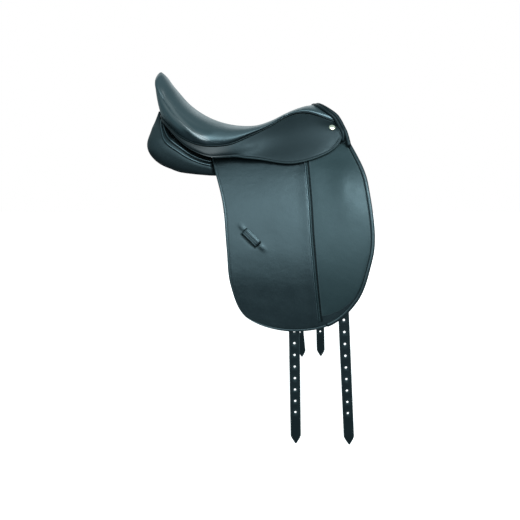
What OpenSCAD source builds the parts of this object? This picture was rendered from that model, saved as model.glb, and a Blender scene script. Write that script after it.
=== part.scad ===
// Dressage saddle: padded seat on a sprung wooden tree, skirts over stirrup bars,
// lifting flaps, stuffed panels and four long girth straps.
// +X is forward, +Y is the rider's left, +Z is up. The origin is on the centre plane at the
// roof of the channel between the panels, under the lowest point of the seat. Millimetres.

/* [Seat] */
// Height of the lowest point of the seat above the channel roof
seat_low_z = 50; // [46:1:56]
// Height of the cantle top above the channel roof
cantle_z = 181; // [172:1:190]
// Distance from the lowest point of the seat back to the cantle top
cantle_back = 210; // [204:1:216]
// Height of the seat's front edge at the pommel
pommel_z = 103; // [101:1:106]
// Distance from the lowest point of the seat forward to the seat's front edge
pommel_fwd = 168; // [164:1:172]
// Half width of the seat at its widest seam
seat_half_w = 132; // [126:1:138]
// Half width of the seat at the twist, behind the pommel
twist_half_w = 65; // [63:1:68]
// Outward pull of the roll along the edge of the seat
roll_out = 26; // [18:1:30]
// Thickness of the seat leather
leather_t = 2.6; // [1.8:0.2:3]
// Thickness of the seat foam at its deepest
foam_t = 12; // [8:1:13]
// Thickness of the strained webbing over the tree
web_t = 1.6; // [1.2:0.2:2]
// Thickness of the wooden tree board
tree_t = 9; // [7:1:10]
// Thickness of the tree's steel plates and springs
steel_t = 2.4; // [1.6:0.2:3]

/* [Head of the tree] */
// Height of the crown of the wooden head arch
head_z = 85; // [83:1:86]
// Outside radius of the wooden head arch
head_r = 58; // [56:1:60]
// Radial thickness of the wooden head arch
head_t = 11; // [9:1:12]
// Slope of the points of the tree from upright
point_angle = 22; // [20:1:24]
// Lowest reach of the points of the tree
point_z = -58; // [-60:1:-54]
// Length of the head arch from back to front
head_len = 50; // [44:1:54]

/* [Stirrup bars] */
// Height of the stirrup bar
bar_z = -5; // [-8:1:-2]
// Rear end of the bar, where the catch is pinned
bar_rear_x = 96; // [90:1:104]
// Front end of the bar plate
bar_front_x = 203; // [199:1:204]
// Diameter of the bar that carries the leather
bar_d = 8; // [7:0.5:8.5]
// Free slot between bar and plate for the stirrup leather
bar_slot = 6; // [5:0.5:6.5]
// Diameter of the catch pin
pin_d = 3; // [2.5:0.5:3.5]
// Length of the catch behind its pin
catch_len = 20; // [16:1:24]

/* [Flaps] */
// Clearance from the points of the tree out to the flap face, at the height of the channel roof
flap_clear = 11.2; // [10.5:0.1:13]
// Outward spread of the flap from there down to its widest
flap_spread = 115.3; // [108:0.1:122]
// Height at which the flaps hang upright
barrel_z = -330; // [-338:1:-322]
// Front edge of the flap
flap_front = 298; // [290:1:306]
// Rear corner of the flap under the skirt
flap_rear = -76; // [-82:1:-70]
// Lower edge of the flap
flap_bottom = -425; // [-440:1:-410]
// Thickness of flap leather
flap_t = 4; // [3:0.5:4.5]
// Height of the bending line along which a flap lifts
flap_flex_z = -56; // [-58:1:-52]
// Thickness of the knee inlay, edge binding and welt on the flap
trim_t = 2; // [1.4:0.2:2.2]
// Width of the bound front edge of the flap
binding_w = 8; // [6:1:10]
// Width of the flap welt
welt_w = 10; // [8:1:12]
// Space between flap and sweat flap
flap_space = 15; // [14.5:0.5:16]
// Thickness of sweat flap leather
sweat_t = 3; // [2:0.5:3.5]

/* [Girth straps] */
// Width of a girth strap
strap_w = 25.4; // [22:0.2:27]
// Thickness of a girth strap
strap_t = 4; // [3:0.5:4.5]
// Height of the pointed end of the right straps
right_tip_z = -720; // [-735:1:-700]
// Height of the pointed end of the left straps
left_tip_z = -648; // [-665:1:-635]
// Distance between buckle holes
hole_pitch = 29.5; // [27:0.5:30]
// Diameter of a buckle hole
hole_d = 5.4; // [4.5:0.1:6]
// Number of buckle holes
hole_n = 9; // [6:1:9]
// Forward position of the front strap's sewn top
front_strap_x = 207; // [204:1:209]
// Forward position of the rear strap's sewn top
rear_strap_x = 108; // [104:1:112]

/* [Panels] */
// Half width of the channel between the panels
channel_half = 30; // [27:1:33]
// Thickness scale of the stuffed panels
panel_fill = 1; // [0.9:0.02:1.06]

/* [Hidden] */
// Gap between plies that lie on each other
ply = 0.3;
// Gap between parts that move past each other
slip = 0.5;
$fn = 64;

black = [0.09, 0.1, 0.11];
wood = [0.72, 0.56, 0.36];
steel = [0.62, 0.64, 0.66];
webbing = [0.75, 0.7, 0.6];
foam = [0.85, 0.83, 0.72];

// Curves
function unit(v) = v / norm(v);
function cubic(a, b, c, d, f) =
    b + (c - a) * f / 2 + (2 * a - 5 * b + 4 * c - d) * f * f / 2
    + (3 * b - a - 3 * c + d) * f * f * f / 2;
// Point on the smooth curve through a list, t from 0 at its first to 1 at its last entry
function along(list, t) =
    let(n = len(list) - 1, s = max(0, min(t * n, n - 0.000001)), i = floor(s))
    cubic(list[max(i - 1, 0)], list[i], list[i + 1], list[min(i + 2, n)], s - i);
function heading(list, t) =
    unit(along(list, min(t + 0.004, 1)) - along(list, max(t - 0.004, 0)));
function bez(a, b, c, d, u) =
    let(w = 1 - u)
    a * w * w * w + b * 3 * u * w * w + c * 3 * u * u * w + d * u * u * u;

// Closed sheet between an outer and an inner grid of points. Cells whose mask is 0 are left
// open; a joined end is one whose last row folds onto the centre plane.
module sheet(outer, inner, mask = [], joined = false) {
    n = len(outer);
    m = len(outer[0]);
    function at(k, i, j) = k * n * m + i * m + j;
    function on(i, j) =
        i >= 0 && j >= 0 && i < n - 1 && j < m - 1 && (len(mask) == 0 || mask[i][j] == 1);
    cells = [for (i = [0:n - 2]) for (j = [0:m - 2]) if (on(i, j)) [i, j]];
    skins = [for (q = cells) let(i = q[0], j = q[1])
        each [[at(0, i, j), at(0, i, j + 1), at(0, i + 1, j + 1)],
            [at(0, i, j), at(0, i + 1, j + 1), at(0, i + 1, j)],
            [at(1, i + 1, j + 1), at(1, i, j + 1), at(1, i, j)],
            [at(1, i + 1, j), at(1, i + 1, j + 1), at(1, i, j)]]];
    edges = [for (q = cells) let(i = q[0], j = q[1])
        each concat(
            on(i - 1, j) ? [] : [[[i, j + 1], [i, j]]],
            on(i + 1, j) || (joined && i == n - 2) ? [] : [[[i + 1, j], [i + 1, j + 1]]],
            on(i, j - 1) ? [] : [[[i, j], [i + 1, j]]],
            on(i, j + 1) ? [] : [[[i + 1, j + 1], [i, j + 1]]])];
    walls = [for (e = edges)
        let(a = at(0, e[0][0], e[0][1]), b = at(0, e[1][0], e[1][1]), c = a + n * m, d = b + n * m)
        each a < b ? [[a, b, d], [a, d, c]] : [[a, b, c], [b, d, c]]];
    polyhedron(
        points = concat([for (r = outer) each r], [for (r = inner) each r]),
        faces = concat(skins, walls), convexity = 8);
}

// Closed skin over a row of rings
module loft(rings) {
    n = len(rings);
    m = len(rings[0]);
    function at(i, j) = i * m + j % m;
    function middle(ring) = [for (k = [0:2]) [for (p = ring) p[k]] * [for (p = ring) 1] / m];
    sides = [for (i = [0:n - 2]) for (j = [0:m - 1])
        each [[at(i, j), at(i, j + 1), at(i + 1, j + 1)],
            [at(i, j), at(i + 1, j + 1), at(i + 1, j)]]];
    ends = [for (j = [0:m - 1])
        each [[at(0, j + 1), at(0, j), n * m],
            [at(n - 1, j), at(n - 1, j + 1), n * m + 1]]];
    polyhedron(
        points = concat([for (r = rings) each r], [middle(rings[0]), middle(rings[n - 1])]),
        faces = concat(sides, ends), convexity = 6);
}

// Round cord of radius r along a list of points
module cord(path, r, sides = 8) {
    n = len(path) - 1;
    loft([for (i = [0:n])
        let(t = unit(path[min(i + 1, n)] - path[max(i - 1, 0)]),
            a = unit(cross(t, [0.31, 0.2, 0.93])),
            b = cross(a, t))
        [for (j = [0:sides - 1]) path[i] + r * (a * cos(360 * j / sides) + b * sin(360 * j / sides))]]);
}

// Outward normal of a grid at one of its points
function grid_normal(g, i, j) =
    let(n = len(g) - 1, m = len(g[0]) - 1)
    unit(cross(g[min(i + 1, n)][j] - g[max(i - 1, 0)][j], g[i][min(j + 1, m)] - g[i][max(j - 1, 0)]));
// Grid moved inward by t
function sunk(g, t) = [for (i = [0:len(g) - 1])
    [for (j = [0:len(g[0]) - 1]) g[i][j] - grid_normal(g, i, j) * t]];

module right_of() {
    mirror([0, 1, 0]) children();
}

// Seat shape: the spine runs from the pommel edge back to the cantle top, the seam runs from
// the pommel down the left side and round the back of the cantle.
spine_line = [
    [pommel_fwd, 0, pommel_z],
    [pommel_fwd - 20, 0, pommel_z - 4],
    [pommel_fwd - 44, 0, pommel_z - 12],
    [98, 0, seat_low_z + 30],
    [62, 0, seat_low_z + 13],
    [20, 0, seat_low_z + 1.5],
    [-35, 0, seat_low_z + 5],
    [-88, 0, seat_low_z + 22],
    [-135, 0, seat_low_z + 52],
    [38 - cantle_back, 0, cantle_z - 39],
    [15 - cantle_back, 0, cantle_z - 11],
    [-cantle_back, 0, cantle_z]];
seam_line = [
    [pommel_fwd + 54, twist_half_w + 3, pommel_z - 46],
    [pommel_fwd - 2, twist_half_w + 1, pommel_z - 26],
    [pommel_fwd - 36, twist_half_w - 1, pommel_z - 23],
    [100, twist_half_w + 2, seat_low_z + 20],
    [60, twist_half_w + 19, seat_low_z - 4],
    [18, seat_half_w - 26, seat_low_z - 25],
    [-33, seat_half_w - 5, seat_low_z - 47],
    [-90, seat_half_w, seat_low_z - 50],
    [-138, seat_half_w - 12, seat_low_z - 34],
    [36 - cantle_back, seat_half_w - 36, cantle_z - 137],
    [11 - cantle_back, seat_half_w - 68, cantle_z - 111],
    [6 - cantle_back, 0, cantle_z - 101]];
// Shares along the seat, pommel to cantle: pull of the roll, depth of foam, reach of the crown
roll_share = [0.15, 0.2, 0.25, 0.4, 0.7, 1, 1, 1, 1, 0.9, 0.55, 0.25];
foam_share = [0.3, 0.3, 0.35, 0.45, 0.52, 0.62, 0.88, 1, 1, 0.9, 0.7, 0.6];
crown_share = [0.66, 0.66, 0.66, 0.66, 0.66, 0.66, 0.66, 0.66, 0.68, 0.74, 0.84, 0.88];
// Height of the shoulder of the section as a share of its rise
shoulder = 0.42;
cantle_rim = 22;
seat_rows = 22;
half_cols = 7;

function flip_y(p, side) = [p[0], side * p[1], p[2]];
// Both lines go on over the centre plane, so that they meet it squarely
function over_centre(list) = concat(list, [flip_y(list[len(list) - 2], -1)]);
seam_turn = over_centre(seam_line);
spine_turn = over_centre(spine_line);
turn_share = (len(seam_line) - 1) / len(seam_line);
function seam(s) = along(seam_turn, s * turn_share);
function spine(s) = along(spine_turn, s * turn_share);
function step_of(s) = [max(s - 0.004, 0), min(s + 0.004, 1)];
function seat_out(s) = let(q = step_of(s), d = seam(q[1]) - seam(q[0])) unit([d[1], -d[0], 0]);
function ease(v) = let(c = max(0, min(1, v))) c * c * (3 - 2 * c);
function seat_up(s) =
    let(q = step_of(s), d = unit(spine(q[1]) - spine(q[0])), w = ease((s - 0.75) / 0.25))
    unit([d[2], 0, -d[0]] * (1 - w) + [0, 0, 1] * w);
// Point of the seat at station s, u from the seam (0) to the spine (1), sunk by t
function seat_at(s, u, t) =
    let(e = seam(s),
        p = spine(s),
        o = seat_out(s),
        n = seat_up(s),
        rise = [p[0] - e[0], 0, p[2] - e[2]],
        a = e + rise * shoulder + o * (roll_out * along(roll_share, s) - t * 0.9) - unit(rise) * t * 0.45,
        b = p + [o[0] * (cantle_rim - t * 0.8), e[1] * along(crown_share, s), 0] - n * t)
    bez(e - o * t, a, b, p - n * t, u);
function seat_grid(t, share = 0, rows = seat_rows) = [for (i = [0:rows])
    let(s = i / rows, d = t + share * min(1, along(foam_share, s)))
    [for (j = [0:2 * half_cols])
        flip_y(seat_at(s, (half_cols - abs(half_cols - j)) / half_cols, d),
            i == rows ? 0 : j <= half_cols ? 1 : -1)]];
function seat_mask(test) = [for (i = [0:seat_rows - 1])
    [for (j = [0:2 * half_cols - 1]) let(k = half_cols - 0.5 - abs(j + 0.5 - half_cols)) test(i, k) ? 1 : 0]];

// Depths of the layers under the seat leather
foam_d = leather_t + ply;
web_d = foam_d + foam_t + ply;
tree_d = web_d + web_t + ply;
plate_d = tree_d + tree_t + ply;
// Row at which the side facing of the cantle starts and its height in columns, row by row
facing_row = 13;
facing_cols = [1, 1, 2, 2, 3, 3, 3, 3, 4];
is_facing = function(i, k) i >= facing_row && k < facing_cols[i - facing_row];
is_seat = function(i, k) !is_facing(i, k);
is_tree = function(i, k) i > 2 && i < 20 && k >= 2 && (i < 8 || i > 16 || k < 4);
is_web = function(i, k) i > 3 && i < 19 && ((k >= 6) || ((i == 11 || i == 14) && k >= 2));
is_spring = function(i, k) i > 4 && i < 15 && k == 3;
is_cantle_plate = function(i, k) i >= 16 && i < 19 && k >= 4;

module seat_cover() {
    color(black) sheet(seat_grid(0), seat_grid(leather_t), seat_mask(is_seat), true);
}
module cantle_facing() {
    color(black) sheet(seat_grid(0), seat_grid(leather_t), seat_mask(is_facing), true);
}
module seat_foam() {
    color(foam) sheet(seat_grid(foam_d), seat_grid(foam_d, foam_t), [], true);
}
module seat_webbing() {
    color(webbing) sheet(seat_grid(web_d), seat_grid(web_d + web_t), seat_mask(is_web), true);
}
// Board of the tree, its front edge planed to the back of the head arch
function planed(g) = [for (i = [0:len(g) - 1])
    [for (p = g[i]) i == 3 ? [head_rear(p[2]) - ply, p[1], p[2]] : p]];
module tree_frame() {
    color(wood) sheet(planed(seat_grid(tree_d)), planed(seat_grid(tree_d + tree_t)),
        seat_mask(is_tree), true);
}
module spring_steels() {
    color(steel) sheet(seat_grid(plate_d), seat_grid(plate_d + steel_t), seat_mask(is_spring), true);
}
module cantle_plate() {
    color(steel) sheet(seat_grid(plate_d), seat_grid(plate_d + steel_t),
        seat_mask(is_cantle_plate), true);
}
// Piping along the seam from the left pommel round the cantle to the right pommel
seat_welt_r = 1.8;
module seat_welt() {
    left = [for (i = [0:30]) let(s = i / 30)
        seam(s) + seat_out(s) * 0.6 - [0, 0, seat_welt_r + ply]];
    right = [for (i = [29:-1:0]) flip_y(left[i], -1)];
    color(black) cord(concat(left, right), seat_welt_r, 6);
}

// Head of the tree: arch section in the YZ plane cut by a slanting slab
head_rear_x = 145;
head_slant = 0.3;
head_mid_z = head_z - head_r;
function head_rear(z) = head_rear_x + (head_z - z) * head_slant;
// Half width of an arch of radius r at height z, along its straight leg
function leg_y(r, z) = r * cos(point_angle)
    + (head_mid_z + r * sin(point_angle) - z) * tan(point_angle);
function arch_arc(r, reach) = [for (i = [-24:24])
    let(a = i / 24 * reach) [r * sin(a), head_mid_z + r * cos(a)]];
function arch_line(r, low) = concat(
    [[-leg_y(r, low), low]], arch_arc(r, 90 - point_angle), [[leg_y(r, low), low]]);
function turned(list) = [for (i = [len(list) - 1:-1:0]) list[i]];
module along_x(x0, x1) {
    translate([x0, 0, 0]) rotate([90, 0, 90]) linear_extrude(x1 - x0) children();
}
module along_y(y0, y1) {
    translate([0, y1, 0]) rotate([90, 0, 0]) linear_extrude(y1 - y0) children();
}
module head_slab(front, back, low) {
    along_y(-160, 160) polygon([
        [head_rear(low) + back, low], [head_rear(low) + front, low],
        [head_rear(head_z + 20) + front, head_z + 20], [head_rear(head_z + 20) + back, head_z + 20]]);
}
module arch(r_out, r_in, low, back, front) {
    intersection() {
        along_x(60, 330) polygon(concat(arch_line(r_out, low - 5), turned(arch_line(r_in, low - 5))));
        head_slab(front, back, low);
    }
}
rivet_d = 5;
rivet_angle = 30;
module rivet_axis(a) {
    translate([head_rear_x + 15, 0, head_mid_z]) rotate([-a, 0, 0]) children();
}
module rivet_bores() {
    for (a = [-rivet_angle, rivet_angle])
        rivet_axis(a) translate([0, 0, 20]) cylinder(d = rivet_d + 0.4, h = 80);
}
module head_arch() {
    color(wood) difference() {
        arch(head_r, head_r - head_t, point_z, 0, head_len);
        rivet_bores();
        for (side = [0, 1]) mirror([0, side, 0]) bar_rivet_bores();
    }
}
module gullet_plate() {
    color(steel) difference() {
        arch(head_r - head_t - ply, head_r - head_t - ply - steel_t, point_z + 18, 4, head_len - 4);
        rivet_bores();
        for (side = [0, 1]) mirror([0, side, 0]) bar_rivet_bores();
    }
}
// Band over the crown of the arch only
crown_reach = 56;
module crown_band(r_out, r_in, back, front) {
    intersection() {
        along_x(60, 330) polygon(concat(arch_arc(r_out, crown_reach), turned(arch_arc(r_in, crown_reach))));
        head_slab(front, back, 0);
    }
}
module head_plate() {
    color(steel) difference() {
        crown_band(head_r + ply + steel_t, head_r + ply, 8, head_len - 8);
        rivet_bores();
    }
}
module tree_rivets() {
    under = head_r - head_t - ply - steel_t;
    over = head_r + ply + steel_t;
    color(steel) for (a = [-rivet_angle, rivet_angle]) rivet_axis(a) {
        translate([0, 0, under - 1.6]) cylinder(d = rivet_d * 1.7, h = 1.4);
        translate([0, 0, under - 1]) cylinder(d = rivet_d, h = over - under + 1.6);
        translate([0, 0, over + 0.2]) cylinder(d = rivet_d * 1.7, h = 1.4);
    }
}
// Leather face of the head, turned back over its crown
facing_t = 2.5;
module pommel_facing() {
    front = head_len + ply;
    color(black) {
        arch(head_r + 1, head_r - head_t - ply - steel_t - 2, -34, front, front + facing_t);
        difference() {
            crown_band(head_r + 6, head_r - 1, 24, front + facing_t);
            crown_band(head_r + 3.4, head_r - 3, 0, front);
        }
    }
}

// Piping along the front edges of seat and skirt, and the roll in front of it
pommel_roll_r = 5.5;
pommel_welt_r = 4;
module both_sides(line, count, r, sides) {
    left = [for (i = [0:count]) along(line, i / count)];
    right = [for (i = [1:count]) flip_y(left[i], -1)];
    cord(concat(turned(left), right), r, sides);
}
// From the centre down the left side
function welt_line() = concat(
    [for (i = [0:5]) let(w = i / 5)
        seat_at(0, 1 - 0.9 * w, 0) + (pommel_welt_r + 1.2) * ([1, 0, 0] * (1 - w) + [0.75, 0.1, 0.66] * w)],
    [for (w = [0.62, 0.3, 0]) skirt_band(0, w) + (pommel_welt_r + 0.8) * unit([1, -0.1, 0.45])]);
function roll_line() =
    let(l = welt_line(), n = len(l) - 1, apart = pommel_welt_r + pommel_roll_r + 0.4)
    concat(
        [for (j = [0:n]) let(f = j / n, t = heading(l, f), d = [1 - 0.25 * f, -0.62 * f, 0.12 * f - 0.05])
            flip_y(l[j] + apart * unit(d - t * (d * t)), j == 0 ? 0 : 1)],
        [[pommel_fwd + 85, barrel_y(barrel_r, -3) + pommel_roll_r + 2, -3]]);
module pommel_roll() {
    color(black) both_sides(roll_line(), 20, pommel_roll_r, 12);
}
module pommel_welt() {
    color(black) both_sides(welt_line(), 18, pommel_welt_r, 8);
}

// Roof of the channel, rising at the back to the foot of the cantle
strip_t = 2;
strip_line = [[136, 12], [90, 5], [30, 1], [-60, 0], [-130, 6], [-172, 30], [-196, 70]];
lip_h = 18;
lip_t = 1.6;
module gullet_strip() {
    low = [for (i = [0:24]) along(strip_line, i / 24)];
    lip = [for (i = [2:18]) low[i]];
    edge = channel_half - ply;
    color(black) {
        along_y(-edge, edge) polygon(concat(low, [for (p = turned(low)) p + [strip_t * 0.6, strip_t]]));
        for (side = [0, 1]) mirror([0, side, 0]) along_y(edge - lip_t, edge)
            polygon(concat([for (p = lip) p + [0, strip_t / 2]], [for (p = turned(lip)) p - [0, lip_h]]));
    }
}

// Flaps, straps and sweat flaps are moulded to a barrel that is upright at its widest
barrel_half = leg_y(head_r, 0) + flap_clear + flap_spread;
barrel_r = (flap_spread * flap_spread + barrel_z * barrel_z) / (2 * flap_spread);
function barrel_y(r, z) = barrel_half - barrel_r + sqrt(r * r - (z - barrel_z) * (z - barrel_z));

// Webs that carry the girth straps
web_w = 40;
girth_web_t = 2.5;
web_s = 0.318;
// The rear strap lies behind the front one, so that they can swing past each other
sweat_r = barrel_r - flap_t - flap_space;
guard_t = 2;
strap_slip = 1.2;
rear_strap_r = sweat_r + ply + guard_t + strap_slip + strap_t / 2;
front_strap_r = rear_strap_r + strap_t + strap_slip;
strap_top_z = -46;
web_foot_z = -60;
function web_foot(r, z) = [barrel_y(r - strap_t / 2 - ply, z), z];
module girth_web() {
    roof = [for (k = [7:-1:4]) let(p = seat_at(web_s, k / half_cols, tree_d + tree_t)) [p[1], p[2] - 0.5]];
    out = concat(roof, [for (z = [strap_top_z, web_foot_z]) web_foot(rear_strap_r, z)]);
    low = concat([for (p = roof) p - [0, girth_web_t]],
        [for (z = [strap_top_z, web_foot_z]) web_foot(rear_strap_r - girth_web_t, z)]);
    back_x = seat_at(web_s, 1, tree_d + tree_t)[0];
    color(webbing) along_x(back_x, back_x + web_w) polygon(concat(
        [for (p = turned(out)) [-p[0], p[1]]], [for (i = [1:len(out) - 1]) out[i]],
        turned(low), [for (i = [1:len(low) - 1]) [-low[i][0], low[i][1]]]));
}
module point_webs() {
    face = [for (z = [-24, -44]) [leg_y(head_r, z) + 0.4, z]];
    color(webbing) for (side = [0, 1]) mirror([0, side, 0])
        along_x(front_strap_x - 14, front_strap_x + 13)
            polygon([face[0], face[0] + [girth_web_t, 0], web_foot(front_strap_r, strap_top_z - 2),
                web_foot(front_strap_r, web_foot_z), face[1]]);
}

// Stirrup bar: plate on the point of the tree, arm at the front, bar running back to a flat
// tongue that the forked catch is pinned to
plate_t = 3;
plate_h = 36;
plate_len = bar_front_x - bar_rear_x - 44;
bar_out = plate_t + bar_slot + bar_d / 2;
bar_front = bar_front_x - 12;
tongue_t = 2.8;
tongue_end = 4;
tongue_len = 14;
rivet_rows = [bar_front_x - 10, bar_front_x - 26];
rivet_up = 12;
head_d = rivet_d * 1.6;
bore_slack = 0.2;
module bar_place() {
    translate([0, leg_y(head_r, bar_z), bar_z]) rotate([point_angle, 0, 0]) children();
}
// Bar axis across the plate, from a depth out towards the plate
module across(x, y, z) {
    translate([x, y, z]) rotate([90, 0, 0]) children();
}
module bar_rivet_shanks(d, sink) {
    for (x = rivet_rows) for (z = [-rivet_up, rivet_up])
        across(x, plate_t + 1, z) cylinder(d = d, h = plate_t + 1 + head_t + ply + steel_t + sink);
}
module bar_rivet_bores() {
    bar_place() bar_rivet_shanks(rivet_d + 2 * bore_slack, 4);
}
module stirrup_bar() {
    color(steel) difference() {
        bar_place() {
            translate([bar_front_x - plate_len, ply, -plate_h / 2])
                cube([plate_len, plate_t - ply, plate_h]);
            translate([bar_front - bar_d, plate_t / 2, -bar_d / 2])
                cube([bar_d, bar_out - plate_t / 2, bar_d]);
            translate([bar_rear_x + bar_d * 0.75, bar_out, 0]) rotate([0, 90, 0])
                cylinder(d = bar_d, h = bar_front - bar_rear_x - bar_d * 0.75);
            translate([bar_rear_x - tongue_end, bar_out - tongue_t / 2, -bar_d / 2])
                cube([tongue_len, tongue_t, bar_d]);
        }
        bar_rivet_bores();
        bar_place() across(bar_rear_x, bar_out + bar_d, 0) cylinder(d = pin_d + bore_slack, h = 2 * bar_d);
    }
}
module bar_rivets() {
    color(steel) bar_place() {
        bar_rivet_shanks(rivet_d, 0);
        for (x = rivet_rows) for (z = [-rivet_up, rivet_up])
            across(x, plate_t + bore_slack + 2, z) cylinder(d = head_d, h = 2);
    }
}
module catch_pin() {
    color(steel) bar_place() across(bar_rear_x, bar_out + bar_d / 2, 0) cylinder(d = pin_d, h = bar_d);
}
// Catch: forked round the tongue, straight behind the bar when open
catch_h = bar_d - 1;
fork_depth = norm([tongue_end, bar_d / 2]) + slip;
module bar_catch() {
    fork_t = tongue_t + 2 * slip;
    color(steel) bar_place() difference() {
        union() {
            across(bar_rear_x, bar_out + bar_d / 2, 0) cylinder(d = catch_h, h = bar_d);
            translate([bar_rear_x - catch_len, bar_out - bar_d / 2, -catch_h / 2])
                cube([catch_len, bar_d, catch_h]);
        }
        translate([bar_rear_x - fork_depth, bar_out - fork_t / 2, -bar_d])
            cube([fork_depth + bar_d, fork_t, 2 * bar_d]);
        across(bar_rear_x, bar_out + bar_d, 0) cylinder(d = pin_d + 2 * slip, h = 2 * bar_d);
    }
}

// Skirts: a fixed band under the seat seam and a lobe that lifts off the stirrup bar
skirt_t = 4;
skirt_end = 0.88;
skirt_rear = [-20, barrel_y(barrel_r + 8, -28), -28];
skirt_front = [pommel_fwd + 66, 88, pommel_z - 77];
skirt_split = 0.52;
seam_drop = 2 * (seat_welt_r + ply) + 0.6;
tail_line = [
    skirt_rear,
    [-52, barrel_y(barrel_r + 8, -28) + 12, -28.5],
    [-84, seat_half_w + 4, -26],
    [-132, seat_half_w - 8, -5],
    [38 - cantle_back, seat_half_w - 36, 31],
    [20 - cantle_back, seat_half_w - 66, cantle_z - 123]];
lobe_line = [
    skirt_front + [1, 0.6, -4],
    [228, barrel_y(barrel_r + 8, 3), 3],
    [205, barrel_y(barrel_r + 8, -15), -15],
    [173, barrel_y(barrel_r + 8, -29), -29],
    [141, barrel_y(barrel_r + 8, -38), -38],
    [109, barrel_y(barrel_r + 8, -43), -43],
    [78, barrel_y(barrel_r + 8, -40), -40],
    [38, barrel_y(barrel_r + 8, -32.5), -32.5],
    [4, barrel_y(barrel_r + 8, -30), -30],
    skirt_rear + [4, 0.4, -1.4]];
function skirt_foot(s) = s <= skirt_split
    ? skirt_front + (skirt_rear - skirt_front) * (s / skirt_split)
    : along(tail_line, (s - skirt_split) / (skirt_end - skirt_split));
// Band between the seam and the bending line, w from the foot (0) to the seam (1)
function skirt_band(s, w) =
    let(e = seam(s) - [0, 0, seam_drop], f = skirt_foot(s))
    f + (e - f) * w + seat_out(s) * 5 * sin(180 * w) * min(1, norm(e - f) / 40);
band_cols = 5;
band_rows = 26;
nail_s = 0.035;
nail_w = 0.52;
nail_d = 14;
function nail_axis() = unit(cross(skirt_band(nail_s + 0.01, nail_w) - skirt_band(nail_s, nail_w),
    skirt_band(nail_s, nail_w + 0.05) - skirt_band(nail_s, nail_w)));
module at_nail() {
    n = nail_axis();
    translate(skirt_band(nail_s, nail_w)) rotate([0, acos(n[2]), atan2(n[1], n[0])]) children();
}
module skirt_top() {
    g = [for (i = [0:band_rows]) let(s = skirt_end * i / band_rows)
        [for (j = [0:band_cols]) skirt_band(s, j / band_cols)]];
    color(black) difference() {
        sheet(g, sunk(g, skirt_t));
        at_nail() translate([0, 0, -20]) cylinder(d = 3.4, h = 40);
    }
}
module nail() {
    color(steel) at_nail() {
        translate([0, 0, -8]) cylinder(d = 3, h = 9);
        translate([0, 0, 0.5]) intersection() {
            cylinder(d = nail_d, h = 3);
            translate([0, 0, 3 - nail_d * 0.9]) sphere(r = nail_d * 0.9);
        }
    }
}
function lobe_at(s, w) =
    let(run = skirt_rear - skirt_front,
        f = skirt_front + run * s + unit(cross(run, [0, 1, 0])) * slip,
        e = along(lobe_line, s))
    e + (f - e) * w + [0, 3 * sin(180 * w) * min(1, norm(f - e) / 30), 0];
module skirt() {
    g = [for (i = [0:22]) let(s = 0.004 + 0.98 * i / 22) [for (j = [0:5]) lobe_at(s, j / 5)]];
    color(black) sheet(g, sunk(g, skirt_t));
}

// Flap outline in side view: rear edge down, round the bottom and up the front edge
notch_z = -19;
flap_edge = [
    [flap_rear - 4, -8],
    [flap_rear + 8, flap_flex_z],
    [flap_rear + 29, -135],
    [flap_rear + 38, -230],
    [flap_rear + 47, -316],
    [flap_rear + 82, flap_bottom + 34],
    [97, flap_bottom],
    [flap_front - 100, flap_bottom + 13],
    [flap_front - 36, flap_bottom + 73],
    [flap_front - 8, -268],
    [flap_front, -205],
    [flap_front - 8, -112],
    [flap_front - 18, flap_flex_z],
    [flap_front - 50, 20]];
function edge_in(t, d) = let(h = heading(flap_edge, t)) along(flap_edge, t) + d * [-h[1], h[0]];
function edge_run(a, b, d, count) = [for (i = [0:count]) edge_in((a + (b - a) * i / count) / 13, d)];
flap_welt_line = [[146, -36], [153, -124], [159, -205], [170, -303], [184, flap_bottom + 14]];
function welt_run(shift, a, b) = [for (i = [0:8]) along(flap_welt_line, a + (b - a) * i / 8) + [shift, 0]];

// Ply between two radii of the barrel on the left side, hanging straight below the barrel's
// widest line, cut to a side outline
module ply_of(r_in, r_out, outline) {
    mid = barrel_half - barrel_r;
    intersection() {
        along_y(40, 240) polygon(outline);
        union() {
            intersection() {
                translate([-120, mid, barrel_z]) rotate([0, 90, 0]) difference() {
                    cylinder(r = r_out, h = 480, $fn = 180);
                    translate([0, 0, -1]) cylinder(r = r_in, h = 482, $fn = 180);
                }
                translate([-120, 0, barrel_z]) cube([480, 300, 400]);
            }
            translate([-120, mid + r_in, barrel_z - 500]) cube([480, r_out - r_in, 500]);
        }
    }
}
trim_r = barrel_r + ply;
trim_low = flap_flex_z - 5;
module flap() {
    color(black) difference() {
        ply_of(barrel_r - flap_t, barrel_r, edge_run(1, 12, 0, 44));
        translate([-120, 0, flap_flex_z - slip]) cube([480, 260, 60]);
        keeper_place() for (e = [-1, 1])
            translate([e * keeper_len / 2 - keeper_t / 2 - 0.5, -keeper_w / 2 - 0.8, -20])
                cube([keeper_t + 1, keeper_w + 1.6, 40]);
    }
}
module flap_top() {
    color(black) ply_of(barrel_r - flap_t, barrel_r, concat(
        turned(edge_run(0, 1, 0, 4)),
        [[80, -8], [84, notch_z], [bar_front_x + 4, notch_z], [bar_front_x + 4, 6]],
        turned(edge_run(12, 13, 0, 4))));
}
inlay_from = 7.02;
module trimmed() {
    intersection() {
        children();
        translate([-120, 0, -500]) cube([480, 260, 500 + trim_low]);
    }
}
module flap_inlay() {
    color(black) trimmed() ply_of(trim_r, trim_r + trim_t, concat(
        edge_run(inlay_from, 12.2, binding_w + 2.5, 24),
        welt_run(welt_w / 2 + 1, 0, 0.93)));
}
module flap_binding() {
    color(black) trimmed() ply_of(trim_r, trim_r + trim_t, concat(
        edge_run(inlay_from, 12.2, 0.5, 24), turned(edge_run(inlay_from, 12.2, binding_w, 24))));
}
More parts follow.
